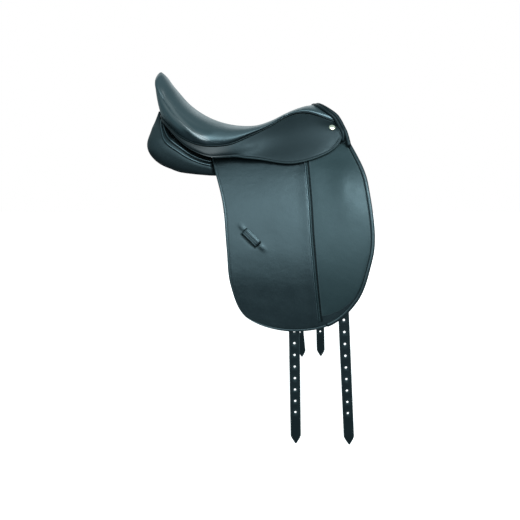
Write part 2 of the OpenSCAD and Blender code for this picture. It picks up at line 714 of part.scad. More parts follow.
module flap_welt() {
    color(black) trimmed() ply_of(trim_r, trim_r + trim_t + 1, concat(
        welt_run(-welt_w / 2, 0, 0.96), turned(welt_run(welt_w / 2, 0, 0.96))));
}
// Keeper for the tail of the stirrup leather: a strap bridging two slits in the flap
keeper_len = 44;
keeper_w = 17;
keeper_t = 2.4;
keeper_gap = 7;
keeper_x = 19;
keeper_z = -207;
module keeper_place() {
    tilt = asin((keeper_z - barrel_z) / barrel_r);
    translate([keeper_x, barrel_y(barrel_r, keeper_z), keeper_z])
        rotate([tilt - 90, 0, 0]) rotate([0, 0, 45]) children();
}
module leather_keeper() {
    a = keeper_len / 2 - keeper_t / 2;
    b = keeper_len / 2 + keeper_t / 2;
    in = -flap_t - 0.8;
    color(black) keeper_place() across(0, keeper_w / 2, 0) linear_extrude(keeper_w) polygon([
        [-b - 10, in], [-b - 10, in - 1.6], [-a, in - 1.6], [-a, keeper_gap - 1], [1 - a, keeper_gap],
        [a - 1, keeper_gap], [a, keeper_gap - 1], [a, in - 1.6], [b + 10, in - 1.6], [b + 10, in],
        [b, in], [b, keeper_gap], [b - 2, keeper_gap + keeper_t], [2 - b, keeper_gap + keeper_t],
        [-b, keeper_gap], [-b, in]]);
}

// Sweat flap, blocks and guard behind the flap
sweat_in = 16;
module sweat_flap() {
    color(black) ply_of(sweat_r - sweat_t, sweat_r, edge_run(1.15, 11.8, sweat_in, 40));
}
block_in = 24;
knee_block_w = 22;
thigh_block_w = 26;
module knee_block() {
    color(black) ply_of(sweat_r + ply, barrel_r - flap_t - slip, concat(
        edge_run(9.2, 11.5, block_in, 10), turned(edge_run(9.2, 11.5, block_in + knee_block_w, 10))));
}
module thigh_block() {
    color(black) ply_of(sweat_r + ply, barrel_r - flap_t - slip, concat(
        edge_run(3.2, 4.7, block_in, 10), turned(edge_run(3.2, 4.7, block_in + thigh_block_w, 10))));
}
module buckle_guard() {
    x0 = rear_strap_x - 32;
    x1 = front_strap_x + 20;
    color(black) ply_of(sweat_r + ply, sweat_r + ply + guard_t, [
        [x0, -67], [x0, -150], [x0 + 12, -164], [x1 - 12, -164], [x1, -150], [x1, -67]]);
}

// Girth strap hanging from its sewn top, leaning forward by an angle
module girth_strap(x, r, lean, tip_z) {
    run = strap_top_z - tip_z;
    dir = [tan(lean), -1];
    half = [strap_w / 2 / cos(lean), 0];
    top = [x, strap_top_z];
    neck = top + dir * (run - 22);
    strip = [top - half, neck - half, top + dir * run, neck + half, top + half];
    mid_y = barrel_half - barrel_r + r;
    color(black) difference() {
        ply_of(r - strap_t / 2, r + strap_t / 2, strip);
        for (i = [0:hole_n - 1]) {
            hole = top + dir * (run - 84 - i * hole_pitch);
            across(hole[0], mid_y + 2 * strap_t, hole[1]) cylinder(d = hole_d, h = 4 * strap_t, $fn = 32);
        }
    }
}
module front_strap(lean, tip_z) {
    girth_strap(front_strap_x, front_strap_r, lean, tip_z);
}
module rear_strap(lean, tip_z) {
    girth_strap(rear_strap_x, rear_strap_r, lean, tip_z);
}
// Lean of each strap as it hangs
lean_front_right = 4.3;
lean_rear_right = 1.6;
lean_front_left = 2.6;
lean_rear_left = 6.2;

// Panels: station list from the raised rear end forward, each with place, slope and half sizes
panel_path = [
    [-209, 55, 82], [-204, 65, 40], [-190, 73, -3], [-153, 75, -27], [-112, 74, -39], [-68, 71, -42],
    [0, 66, -40], [70, 62, -38], [140, 57, -36], [200, 54, -36], [238, 56, -36], [250, 57, -36]];
panel_slope = [0, 4, 8, 12, 17, 24, 34, 42, 54, 63, 66, 66];
panel_half_w = [15, 31, 42, 45, 46, 46, 46, 47, 51, 55, 53, 45];
panel_half_t = [1.8, 17, 34, 32, 24, 20, 20, 19, 15, 12, 9, 4];
panel_rows = 34;
panel_cols = 18;
panel_power = 0.72;
function swell(v) = sign(v) * pow(abs(v), panel_power);
// Keep a point of the panel clear of channel, sweat flap and points of the tree
function tail_z(x) = lookup(x, [for (q = turned(tail_line)) [q[0], q[2]]]);
// Its tip stands behind the seam of the cantle
tip_x = 4 - cantle_back;
function tip_limit(z) = z < 45 ? 400 : lookup(z, [[45, 24 - cantle_back], [57, tip_x]]);
function pressed(p) =
    let(r = sweat_r - sweat_t - ply,
        x = min(p[0], tip_limit(p[2])),
        z_top = x < flap_rear + 10 && x > tip_x + 0.1 ? tail_z(x) - 3 : 400,
        y_flap = p[0] > flap_rear - 12 ? barrel_y(r, p[2]) : 400,
        inside = leg_y(head_r - head_t - steel_t - 2 * ply, p[2]) - ply,
        y_point = p[0] > 95 && p[2] > point_z - 4 ? inside : 400)
    [x, max(channel_half, min(p[1], y_flap, y_point)), min(p[2], z_top)];
function panel_at(s, angle, grow) =
    let(c = along(panel_path, s),
        d = heading(panel_path, s),
        n = unit([-d[2], 0, d[0]]),
        f = along(panel_slope, s),
        a = (along(panel_half_w, s) + grow) * swell(cos(angle)),
        b = (along(panel_half_t, s) * panel_fill + grow) * swell(sin(angle)))
    c + [0, a * cos(f) + b * sin(f), 0] + n * (b * cos(f) - a * sin(f));
module panel() {
    color(black) loft([for (i = [0:panel_rows])
        [for (j = [0:panel_cols - 1]) pressed(panel_at(i / panel_rows, -360 * j / panel_cols, 0))]]);
}
// Pipings along the upper edge of the panel's rear side wall
panel_welt_r = 2;
module panel_welt() {
    color(black) for (a = [30, 52])
        cord([for (i = [0:20]) panel_at(0.1 + 0.33 * i / 20, a, panel_welt_r + 0.6)], panel_welt_r, 6);
}

tree_frame();
head_arch();
gullet_plate();
head_plate();
cantle_plate();
spring_steels();
tree_rivets();
seat_webbing();
seat_foam();
seat_cover();
cantle_facing();
seat_welt();
pommel_facing();
pommel_roll();
pommel_welt();
gullet_strip();
girth_web();
point_webs();
stirrup_bar();  // stirrup_bar_left
right_of() stirrup_bar();  // stirrup_bar_right
bar_rivets();  // bar_rivets_left
right_of() bar_rivets();  // bar_rivets_right
catch_pin();  // catch_pin_left
right_of() catch_pin();  // catch_pin_right
bar_catch();  // bar_catch_left
right_of() bar_catch();  // bar_catch_right
skirt_top();  // skirt_top_left
right_of() skirt_top();  // skirt_top_right
skirt();  // skirt_left
right_of() skirt();  // skirt_right
nail();  // nail_left
right_of() nail();  // nail_right
flap_top();  // flap_top_left
right_of() flap_top();  // flap_top_right
flap();  // flap_left
right_of() flap();  // flap_right
flap_inlay();  // flap_inlay_left
right_of() flap_inlay();  // flap_inlay_right
flap_binding();  // flap_binding_left
right_of() flap_binding();  // flap_binding_right
flap_welt();  // flap_welt_left
right_of() flap_welt();  // flap_welt_right
leather_keeper();  // leather_keeper_left
right_of() leather_keeper();  // leather_keeper_right
sweat_flap();  // sweat_flap_left
right_of() sweat_flap();  // sweat_flap_right
knee_block();  // knee_block_left
right_of() knee_block();  // knee_block_right
thigh_block();  // thigh_block_left
right_of() thigh_block();  // thigh_block_right
buckle_guard();  // buckle_guard_left
right_of() buckle_guard();  // buckle_guard_right
panel();  // panel_left
right_of() panel();  // panel_right
panel_welt();  // panel_welt_left
right_of() panel_welt();  // panel_welt_right
front_strap(lean_front_left, left_tip_z);  // girth_strap_front_left
right_of() front_strap(lean_front_right, right_tip_z);  // girth_strap_front_right
rear_strap(lean_rear_left, left_tip_z);  // girth_strap_rear_left
right_of() rear_strap(lean_rear_right, right_tip_z);  // girth_strap_rear_right
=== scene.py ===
"""Looks of the dressage saddle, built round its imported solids.

Sizes are millimetres in the part's frame: +X forward, +Y the rider's left, +Z up. Pieces of a pair
are shaped on the left side and mirrored for the right.
"""
import math

import bpy
import bmesh
import numpy as np
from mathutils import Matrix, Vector
from mathutils.geometry import delaunay_2d_cdt


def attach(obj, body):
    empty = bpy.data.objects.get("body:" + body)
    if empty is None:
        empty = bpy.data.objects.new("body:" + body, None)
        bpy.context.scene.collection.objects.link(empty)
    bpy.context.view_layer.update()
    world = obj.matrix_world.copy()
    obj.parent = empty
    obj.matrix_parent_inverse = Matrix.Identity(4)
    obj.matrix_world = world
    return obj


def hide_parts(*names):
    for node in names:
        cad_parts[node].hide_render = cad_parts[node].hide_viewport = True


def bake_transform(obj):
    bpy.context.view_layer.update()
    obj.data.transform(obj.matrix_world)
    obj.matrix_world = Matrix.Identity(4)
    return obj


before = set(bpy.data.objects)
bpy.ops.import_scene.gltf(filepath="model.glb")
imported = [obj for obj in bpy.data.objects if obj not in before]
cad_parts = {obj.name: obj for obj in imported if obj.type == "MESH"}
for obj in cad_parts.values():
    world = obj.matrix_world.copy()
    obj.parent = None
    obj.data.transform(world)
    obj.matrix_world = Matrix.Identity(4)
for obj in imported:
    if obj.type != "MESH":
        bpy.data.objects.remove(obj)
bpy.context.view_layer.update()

MM = 0.001
SIDES = {"left": 1, "right": -1}


# Curves and grids

def unit(v):
    return v / np.maximum(np.linalg.norm(v, axis=-1, keepdims=True), 1e-9)


def ease(v):
    c = np.clip(v, 0, 1)
    return c * c * (3 - 2 * c)


def hump(v, middle, width):
    """Smooth rise of height 1 round a middle value."""
    return np.exp(-((v - middle) / width) ** 2)


def curve(points, t):
    """Smooth curve through points, t from 0 at the first to 1 at the last."""
    p = np.asarray(points, float)
    flat = p.ndim == 1
    if flat:
        p = p[:, None]
    n = len(p) - 1
    s = np.clip(np.asarray(t, float) * n, 0, n - 1e-6)
    i = np.floor(s).astype(int)
    f = (s - i)[..., None]
    a, b, c, d = p[np.maximum(i - 1, 0)], p[i], p[i + 1], p[np.minimum(i + 2, n)]
    out = (b + (c - a) * f / 2 + (2 * a - 5 * b + 4 * c - d) * f ** 2 / 2
           + (3 * b - a - 3 * c + d) * f ** 3 / 2)
    return out[..., 0] if flat else out


# Share of a curve to either side of a place over which its heading is taken
NEAR = 0.004


def chord(place, t):
    """Way from just before to just after t on a curve given by a function."""
    return place(np.minimum(t + NEAR, 1)) - place(np.maximum(t - NEAR, 0))


def heading(points, t):
    return unit(chord(lambda k: curve(points, k), t))


def softened(line, times):
    """Line smoothed a number of times, its ends kept."""
    for _ in range(times):
        line[1:-1] = (line[:-2] + 2 * line[1:-1] + line[2:]) / 4
    return line


def run_along(line):
    return np.concatenate([[0], np.cumsum(np.linalg.norm(np.diff(line, axis=0), axis=1))])


def resample(line, shares):
    """Points of a polyline at shares of its length."""
    run = run_along(line)
    return np.stack([np.interp(shares * run[-1], run, line[:, k]) for k in range(line.shape[1])], -1)


# Distances from a worked edge of the grid lines beside it
FINE = (0, 0.3, 0.8, 1.5, 2.4, 3.4, 4.4, 5.2, 6.0, 7.0, 9.0)
FAR = 1e6


def spaced(count, length, last=True):
    """Shares from 0 to 1 over a length, close together at the first end and, if worked, the last."""
    a = np.array(FINE) / length
    b = a if last else a[:1]
    return np.concatenate([a[:-1], np.linspace(a[-1], 1 - b[-1], count), (1 - b[:-1])[::-1]])


def run_from(grid, axis, back=False):
    """Distance of each grid point from the first line along an axis, or from the last."""
    g = np.flip(grid, axis) if back else grid
    step = np.linalg.norm(np.diff(g, axis=axis), axis=-1)
    pad = [(1, 0) if k == axis else (0, 0) for k in range(2)]
    d = np.pad(np.cumsum(step, axis=axis), pad)
    return np.flip(d, axis) if back else d


def border_distance(grid, borders):
    """Distance to the nearest of the named borders: a and b first and last row, c and d columns."""
    far = np.full(grid.shape[:2], FAR)
    for name, axis, back in (("a", 0, False), ("b", 0, True), ("c", 1, False), ("d", 1, True)):
        if name in borders:
            far = np.minimum(far, run_from(grid, axis, back))
    return far


def flat_distance(xz, borders):
    """Border distance of a grid given by its places along X and Z."""
    return border_distance(np.concatenate([xz, 0 * xz[..., :1]], -1), borders)


def normals(grid, toward):
    """Normals of a grid, on the side that a direction or a field of directions points to."""
    n = unit(np.cross(np.gradient(grid, axis=0), np.gradient(grid, axis=1)))
    return n * np.sign(np.sum(n * toward, axis=(0, 1, 2)))


def rounded(d, r):
    """Drop of a rounded edge of radius r at a distance d from it."""
    q = np.clip(1 - d / r, 0, 1)
    return r * (1 - np.sqrt(1 - q * q))


def flipped(points, side):
    return points * np.array([1, side, 1])


WAVES, LEAST_WAVE, LONGEST_WAVE, PHASE = 7, 0.7, 1.5, 6.28


def noise_at(points, size, seed):
    """Slow ripple with a given wavelength, from a few crossed waves."""
    rng = np.random.default_rng(seed)
    total = np.zeros(points.shape[:-1])
    for _ in range(WAVES):
        way = unit(rng.normal(size=3))
        wavelength = size * rng.uniform(LEAST_WAVE, LONGEST_WAVE)
        total += np.sin(points @ way * 2 * np.pi / wavelength + rng.uniform(0, PHASE))
    return total / WAVES


# Meshes

def build(name, verts, faces, material, marks=None):
    """Closed mesh from points in millimetres. Points that meet become one; marks are per point."""
    key = np.round(np.asarray(verts, float), 3)
    _, first, where = np.unique(key, axis=0, return_index=True, return_inverse=True)
    where = where.reshape(-1)
    clean = []
    for f in faces:
        ids = [int(where[k]) for k in f]
        ids = [k for j, k in enumerate(ids) if k != ids[j - 1]]
        if len(set(ids)) == len(ids) and len(ids) > 2:
            clean.append(ids)
    mesh = bpy.data.meshes.new(name)
    mesh.from_pydata((key[first] * MM).tolist(), [], clean)
    for mark, values in (marks or {}).items():
        layer = mesh.attributes.new(mark, "FLOAT", "POINT")
        layer.data.foreach_set("value", np.asarray(values, float).reshape(-1)[first])
    bm = bmesh.new()
    bm.from_mesh(mesh)
    bmesh.ops.delete(bm, geom=[v for v in bm.verts if not v.link_faces], context="VERTS")
    bmesh.ops.recalc_face_normals(bm, faces=bm.faces)
    if bm.calc_volume(signed=True) < 0:
        bmesh.ops.reverse_faces(bm, faces=bm.faces)
    bm.to_mesh(mesh)
    bm.free()
    mesh.shade_smooth()
    mesh.materials.append(material)
    obj = bpy.data.objects.new(name, mesh)
    bpy.context.scene.collection.objects.link(obj)
    return obj


def cells(ids):
    return np.stack([ids[:-1, :-1], ids[:-1, 1:], ids[1:, 1:], ids[1:, :-1]], -1).reshape(-1, 4)


def folded_cells(ids):
    """Cells of a grid whose last row is folded on its middle, cut there so that no two cuts meet."""
    a, b, c, d = ids[-2, :-1], ids[-2, 1:], ids[-1, 1:], ids[-1, :-1]
    mid = len(a) // 2
    left = [(a, b, c), (a, c, d)]
    right = [(a, b, d), (b, c, d)]
    last = [np.stack(t, -1)[:mid] for t in left] + [np.stack(t, -1)[mid:] for t in right]
    return cells(ids[:-1]).tolist() + np.concatenate(last).tolist()


def shell(name, outer, inner, material, marks=None, joined=False):
    """Closed sheet between two grids. A joined sheet has its last row folded on the centre plane."""
    n, m = outer.shape[:2]
    ids = np.arange(n * m).reshape(n, m)
    rims = [ids[0], ids[:, 0], ids[:, -1]] + ([] if joined else [ids[-1]])
    walls = [np.stack([r[:-1], r[1:], r[1:] + n * m, r[:-1] + n * m], -1).tolist() for r in rims]
    skin = folded_cells(ids) if joined else cells(ids).tolist()
    faces = skin + [[k + n * m for k in reversed(f)] for f in skin] + sum(walls, [])
    both = {k: np.concatenate([v.reshape(-1), v.reshape(-1)]) for k, v in (marks or {}).items()}
    verts = np.concatenate([outer.reshape(-1, 3), inner.reshape(-1, 3)])
    return build(name, verts, faces, material, both)


def loft(name, rings, material):
    """Closed skin over rings of points, with a point at the middle of either end."""
    n, m = rings.shape[:2]
    ids = np.arange(n * m).reshape(n, m)
    around = np.concatenate([ids, ids[:, :1]], 1)
    faces = cells(around).tolist()
    faces += [[int(around[0, j + 1]), int(around[0, j]), n * m] for j in range(m)]
    faces += [[int(around[-1, j]), int(around[-1, j + 1]), n * m + 1] for j in range(m)]
    verts = np.concatenate([rings.reshape(-1, 3), rings[0].mean(0)[None], rings[-1].mean(0)[None]])
    return build(name, verts, faces, material)


# Share of a rounded border's radius that is worked, which leaves a thin rim
RIM = 0.98
# Distance from a cut edge where it is worn most, and how far the wear reaches
WEAR_AT, WEAR_WIDE = 0.6, 1.6


def leather_sheet(name, grid, thick, toward, borders, material, relief, marks):
    """Sheet of leather with rounded borders, its face lifted by a relief."""
    n = normals(grid, toward)
    d = border_distance(grid, borders)
    drop = RIM * rounded(d, thick / 2)
    outer = grid + n * (relief - drop)[..., None]
    inner = grid - n * (thick - drop)[..., None]
    return shell(name, outer, inner, material, {"edge": hump(d, WEAR_AT, WEAR_WIDE), **marks})


# Materials

def shader_group(name, inputs, outputs):
    tree = bpy.data.node_groups.new(name, "ShaderNodeTree")
    for label, kind, value in inputs:
        tree.interface.new_socket(label, in_out="INPUT", socket_type=kind).default_value = value
    for label, kind in outputs:
        tree.interface.new_socket(label, in_out="OUTPUT", socket_type=kind)
    return tree, tree.nodes.new("NodeGroupInput"), tree.nodes.new("NodeGroupOutput")


def feed(tree, socket, value):
    """Gives a socket a value or the output of a node."""
    if hasattr(value, "node"):
        tree.links.new(value, socket)
    else:
        socket.default_value = value


def math_node(tree, operation, a, b):
    node = tree.nodes.new("ShaderNodeMath")
    node.operation = operation
    feed(tree, node.inputs[0], a)
    feed(tree, node.inputs[1], b)
    return node.outputs[0]


def plus(tree, a, b):
    return math_node(tree, "ADD", a, b)


def times(tree, a, b):
    return math_node(tree, "MULTIPLY", a, b)


# Sockets of the Mix node that are for colours
MIX_A, MIX_B, MIX_OUT = 6, 7, 2


def mix_node(tree, factor, a, b):
    node = tree.nodes.new("ShaderNodeMix")
    node.data_type = "RGBA"
    for k, value in ((0, factor), (MIX_A, a), (MIX_B, b)):
        feed(tree, node.inputs[k], value)
    return node.outputs[MIX_OUT]


def noise_node(tree, place, scale, detail):
    node = tree.nodes.new("ShaderNodeTexNoise")
    tree.links.new(place, node.inputs["Vector"])
    feed(tree, node.inputs["Scale"], scale)
    node.inputs["Detail"].default_value = detail
    return node.outputs["Fac"]


def place_of(tree, scale=(1, 1, 1)):
    place = tree.nodes.new("ShaderNodeTexCoord")
    mapping = tree.nodes.new("ShaderNodeMapping")
    mapping.inputs["Scale"].default_value = scale
    tree.links.new(place.outputs["Object"], mapping.inputs["Vector"])
    return mapping.outputs["Vector"]


def mark_node(tree, name):
    node = tree.nodes.new("ShaderNodeAttribute")
    node.attribute_name = name
    return node.outputs["Fac"]


COLOUR = "NodeSocketColor"
FLOAT = "NodeSocketFloat"
# Leather: noise scales, share of each in the relief, and changes of polish
PORES_PER_PEBBLE, SLOW_SCALE, MOTTLE_SCALE = 2.7, 22, 75
PORE_DEPTH, MOTTLE_DEPTH = 0.4, 5
SLOW_POLISH, WAX_POLISH, PORE_POLISH, LEAST_WEAR = 0.24, 0.2, 0.04, 0.2


def leather_group():
    """Pebbled grain with a slow change of polish, worn pale at cut edges and waxed where rubbed."""
    tree, given, out = shader_group(
        "leather_grain",
        [("Colour", COLOUR, (0, 0, 0, 1)), ("Worn", COLOUR, (0, 0, 0, 1)),
         ("Grain Scale", FLOAT, 800), ("Polish", FLOAT, 0.4)],
        [("Colour", COLOUR), ("Roughness", FLOAT), ("Wax", FLOAT), ("Height", FLOAT)])
    place = place_of(tree)
    pebble = tree.nodes.new("ShaderNodeTexVoronoi")
    pebble.feature = "SMOOTH_F1"
    tree.links.new(place, pebble.inputs["Vector"])
    tree.links.new(given.outputs["Grain Scale"], pebble.inputs["Scale"])
    pores = noise_node(tree, place, times(tree, given.outputs["Grain Scale"], PORES_PER_PEBBLE), 2)
    slow = noise_node(tree, place, SLOW_SCALE, 4)
    mottle = noise_node(tree, place, MOTTLE_SCALE, 3)
    height = math_node(tree, "SUBTRACT", times(tree, pores, PORE_DEPTH), pebble.outputs["Distance"])
    height = plus(tree, height, times(tree, mottle, MOTTLE_DEPTH))
    wax = mark_node(tree, "waxed")
    drift = times(tree, math_node(tree, "SUBTRACT", slow, 0.5), SLOW_POLISH)
    polish = plus(tree, given.outputs["Polish"], drift)
    polish = math_node(tree, "SUBTRACT", polish, times(tree, wax, WAX_POLISH))
    polish = plus(tree, polish, times(tree, pores, PORE_POLISH))
    wear = times(tree, mark_node(tree, "edge"), plus(tree, slow, LEAST_WEAR))
    colour = mix_node(tree, wear, given.outputs["Colour"], given.outputs["Worn"])
    wax = math_node(tree, "MAXIMUM", wax, 0)
    found = {"Colour": colour, "Roughness": polish, "Wax": wax, "Height": height}
    for label, socket in found.items():
        tree.links.new(socket, out.inputs[label])
    return tree


STREAK_POLISH, WEAVE_TONE = 0.15, 0.6


def streak_group(name, stretch):
    """Streaks along one axis, for wood grain and brushed steel."""
    tree, given, out = shader_group(
        name,
        [("Light", COLOUR, (1, 1, 1, 1)), ("Dark", COLOUR, (0, 0, 0, 1)), ("Scale", FLOAT, 60),
         ("Polish", FLOAT, 0.4)],
        [("Colour", COLOUR), ("Roughness", FLOAT), ("Height", FLOAT)])
    streak = noise_node(tree, place_of(tree, stretch), given.outputs["Scale"], 5)
    colour = mix_node(tree, streak, given.outputs["Dark"], given.outputs["Light"])
    polish = plus(tree, given.outputs["Polish"], times(tree, streak, STREAK_POLISH))
    tree.links.new(colour, out.inputs["Colour"])
    tree.links.new(polish, out.inputs["Roughness"])
    tree.links.new(streak, out.inputs["Height"])
    return tree


def weave_group():
    """Crossed threads of webbing, and with the threads set to nothing the cells of foam."""
    tree, given, out = shader_group(
        "woven_threads",
        [("Light", COLOUR, (1, 1, 1, 1)), ("Dark", COLOUR, (0, 0, 0, 1)), ("Threads", FLOAT, 500),
         ("Cells", FLOAT, 300)],
        [("Colour", COLOUR), ("Height", FLOAT)])
    place = place_of(tree)
    waves = []
    for way in ("X", "Y"):
        wave = tree.nodes.new("ShaderNodeTexWave")
        wave.bands_direction = way
        tree.links.new(place, wave.inputs["Vector"])
        tree.links.new(given.outputs["Threads"], wave.inputs["Scale"])
        waves.append(wave.outputs["Fac"])
    cell = noise_node(tree, place, given.outputs["Cells"], 2)
    height = plus(tree, times(tree, waves[0], waves[1]), cell)
    tone = times(tree, height, WEAVE_TONE)
    tree.links.new(height, out.inputs["Height"])
    tree.links.new(mix_node(tree, tone, given.outputs["Dark"], given.outputs["Light"]), out.inputs["Colour"])
    return tree


def surface(name, tree, values, bump, constants):
    """Material whose colour, roughness and relief come from a node group; bump is strength and depth."""
    mat = bpy.data.materials.new(name)
    mat.use_nodes = True
    nodes, links = mat.node_tree.nodes, mat.node_tree.links
    shader = nodes["Principled BSDF"]
    given = nodes.new("ShaderNodeGroup")
    given.node_tree = tree
    for label, value in values.items():
        given.inputs[label].default_value = value
    links.new(given.outputs["Colour"], shader.inputs["Base Color"])
    for label, target in (("Roughness", "Roughness"), ("Wax", "Coat Weight")):
        if label in given.outputs:
            links.new(given.outputs[label], shader.inputs[target])
    relief = nodes.new("ShaderNodeBump")
    relief.inputs["Strength"].default_value = bump[0]
    relief.inputs["Distance"].default_value = bump[1]
    links.new(given.outputs["Height"], relief.inputs["Height"])
    links.new(relief.outputs["Normal"], shader.inputs["Normal"])
    for label, value in constants.items():
        shader.inputs[label].default_value = value
    return mat


BLACK = (0.0036, 0.0072, 0.0085, 1)
WORN = (0.03, 0.05, 0.055, 1)
SHEEN_TINT = (0.57, 0.88, 1.0, 1)
WAX = {"Coat Roughness": 0.3, "Coat IOR": 2.0}
GRAIN_STRENGTH = 0.35
grain = leather_group()


def leather(name, colour, scale, polish, depth, gloss, ior=1.5):
    """Leather with so many grains to the metre, a roughness, a grain depth in mm and a strength of shine."""
    values = {"Colour": colour, "Worn": WORN, "Grain Scale": scale, "Polish": polish}
    shine = {"Specular Tint": SHEEN_TINT, "IOR": ior, "Specular IOR Level": gloss, **WAX}
    return surface(name, grain, values, (GRAIN_STRENGTH, depth * MM), shine)


flap_leather = leather("flap_leather", BLACK, 900, 0.36, 0.2, 0.7)
skirt_leather = leather("skirt_leather", BLACK, 900, 0.42, 0.10, 0.27)
knee_leather = leather("knee_leather", (0.013, 0.026, 0.029, 1), 800, 0.4, 0.2, 0.44)
seat_leather = leather("seat_leather", BLACK, 1100, 0.36, 0.12, 1.0, 1.65)
panel_leather = leather("panel_leather", (0.008, 0.014, 0.016, 1), 1000, 0.44, 0.10, 0.42)
# Near-black, dull leather laid where shade falls, in the seam's groove and behind the keeper: painted shade
painted_shade_leather = leather("painted_shade_leather", (0.002, 0.004, 0.0047, 1), 900, 0.5, 0.10, 0.2)
strap_leather = leather("strap_leather", BLACK, 700, 0.44, 0.12, 0.45)
thread = leather("waxed_thread", (0.012, 0.018, 0.02, 1), 2400, 0.5, 0.05, 0.5)


def two_tone(light, dark, **more):
    return {"Light": light + (1,), "Dark": dark + (1,), **{k.capitalize(): v for k, v in more.items()}}


brushed = streak_group("brushed_steel", (0.05, 1, 1))
woven = weave_group()
wood = surface("laminated_wood", streak_group("wood_grain", (0.15, 1, 1)),
               two_tone((0.55, 0.36, 0.19), (0.27, 0.15, 0.07), scale=160, polish=0.42),
               (0.2, 0.2 * MM), {})
steel = surface("plated_steel", brushed,
                two_tone((0.62, 0.63, 0.64), (0.42, 0.43, 0.44), scale=900, polish=0.22),
                (0.08, 0.1 * MM), {"Metallic": 1})
nail_metal = surface("polished_nail", brushed,
                     two_tone((0.93, 0.92, 0.74), (0.86, 0.85, 0.66), scale=500, polish=0.12),
                     (0.03, 0.1 * MM), {"Metallic": 1})
webbing = surface("linen_webbing", woven,
                  two_tone((0.62, 0.55, 0.42), (0.3, 0.25, 0.17), threads=260, cells=900),
                  (0.6, 0.4 * MM), {"Roughness": 0.85})
foam = surface("seat_foam", woven,
               two_tone((0.78, 0.74, 0.58), (0.5, 0.45, 0.32), threads=0, cells=700),
               (0.5, 0.6 * MM), {"Roughness": 0.9})


# Rows of stitches and pipings

def geometry_tree(name, inputs):
    tree = bpy.data.node_groups.new(name, "GeometryNodeTree")
    tree.interface.new_socket("Geometry", in_out="INPUT", socket_type="NodeSocketGeometry")
    for label, kind in inputs:
        tree.interface.new_socket(label, in_out="INPUT", socket_type=kind)
    tree.interface.new_socket("Geometry", in_out="OUTPUT", socket_type="NodeSocketGeometry")
    return tree, tree.nodes.new("NodeGroupInput"), tree.nodes.new("NodeGroupOutput")


def new_nodes(tree, *kinds):
    return [tree.nodes.new(kind) for kind in kinds]


def in_line(tree, *nodes):
    """Links the first output of each node to the first input of the next."""
    for a, b in zip(nodes, nodes[1:]):
        tree.links.new(a.outputs[0], b.inputs[0])


def chain(tree, *steps):
    """Links sockets in pairs."""
    for a, b in steps:
        tree.links.new(a, b)


def painted(tree, shape, material, out):
    """Makes a node's shape real, smooth and painted, as the result of the tree."""
    real, smooth, paint = new_nodes(tree, "GeometryNodeRealizeInstances", "GeometryNodeSetShadeSmooth",
                                    "GeometryNodeSetMaterial")
    in_line(tree, shape, real, smooth, paint, out)
    tree.links.new(material, paint.inputs["Material"])


def stitch_tree():
    """Stitches laid along the edges of a path."""
    tree, given, out = geometry_tree("stitch_row", [("Pitch", FLOAT), ("Length", FLOAT), ("Thickness", FLOAT),
                                                    ("Thread", "NodeSocketMaterial")])
    path, sampled, lay = new_nodes(tree, "GeometryNodeMeshToCurve", "GeometryNodeResampleCurve",
                                   "GeometryNodeInstanceOnPoints")
    bead, sized, scale = new_nodes(tree, "GeometryNodeMeshUVSphere", "GeometryNodeTransform",
                                   "ShaderNodeCombineXYZ")
    tangent, turn = new_nodes(tree, "GeometryNodeInputTangent", "FunctionNodeAlignRotationToVector")
    sampled.mode = "LENGTH"
    turn.axis = "X"
    for label, value in (("Segments", 8), ("Rings", 6), ("Radius", 0.5)):
        bead.inputs[label].default_value = value
    in_line(tree, given, path, sampled, lay)
    in_line(tree, bead, sized)
    chain(tree,
          (given.outputs["Pitch"], sampled.inputs["Length"]),
          (given.outputs["Length"], scale.inputs["X"]),
          (given.outputs["Thickness"], scale.inputs["Y"]),
          (given.outputs["Thickness"], scale.inputs["Z"]),
          (scale.outputs["Vector"], sized.inputs["Scale"]),
          (sized.outputs["Geometry"], lay.inputs["Instance"]),
          (tangent.outputs["Tangent"], turn.inputs["Vector"]),
          (turn.outputs["Rotation"], lay.inputs["Rotation"]))
    painted(tree, lay, given.outputs["Thread"], out)
    return tree


def piping_tree():
    """Round piping along the edges of a path, as thick at each point as its girth mark says."""
    tree, given, out = geometry_tree("piping", [("Radius", FLOAT), ("Step", FLOAT),
                                                ("Leather", "NodeSocketMaterial")])
    path, sampled, tube = new_nodes(tree, "GeometryNodeMeshToCurve", "GeometryNodeResampleCurve",
                                    "GeometryNodeCurveToMesh")
    ring, girth = new_nodes(tree, "GeometryNodeCurvePrimitiveCircle", "GeometryNodeInputNamedAttribute")
    sampled.mode = "LENGTH"
    ring.inputs["Resolution"].default_value = 16
    girth.inputs["Name"].default_value = "girth"
    tube.inputs["Fill Caps"].default_value = True
    in_line(tree, given, path, sampled, tube)
    chain(tree,
          (given.outputs["Step"], sampled.inputs["Length"]),
          (given.outputs["Radius"], ring.inputs["Radius"]),
          (ring.outputs["Curve"], tube.inputs["Profile Curve"]),
          (girth.outputs["Attribute"], tube.inputs["Scale"]))
    painted(tree, tube, given.outputs["Leather"], out)
    return tree


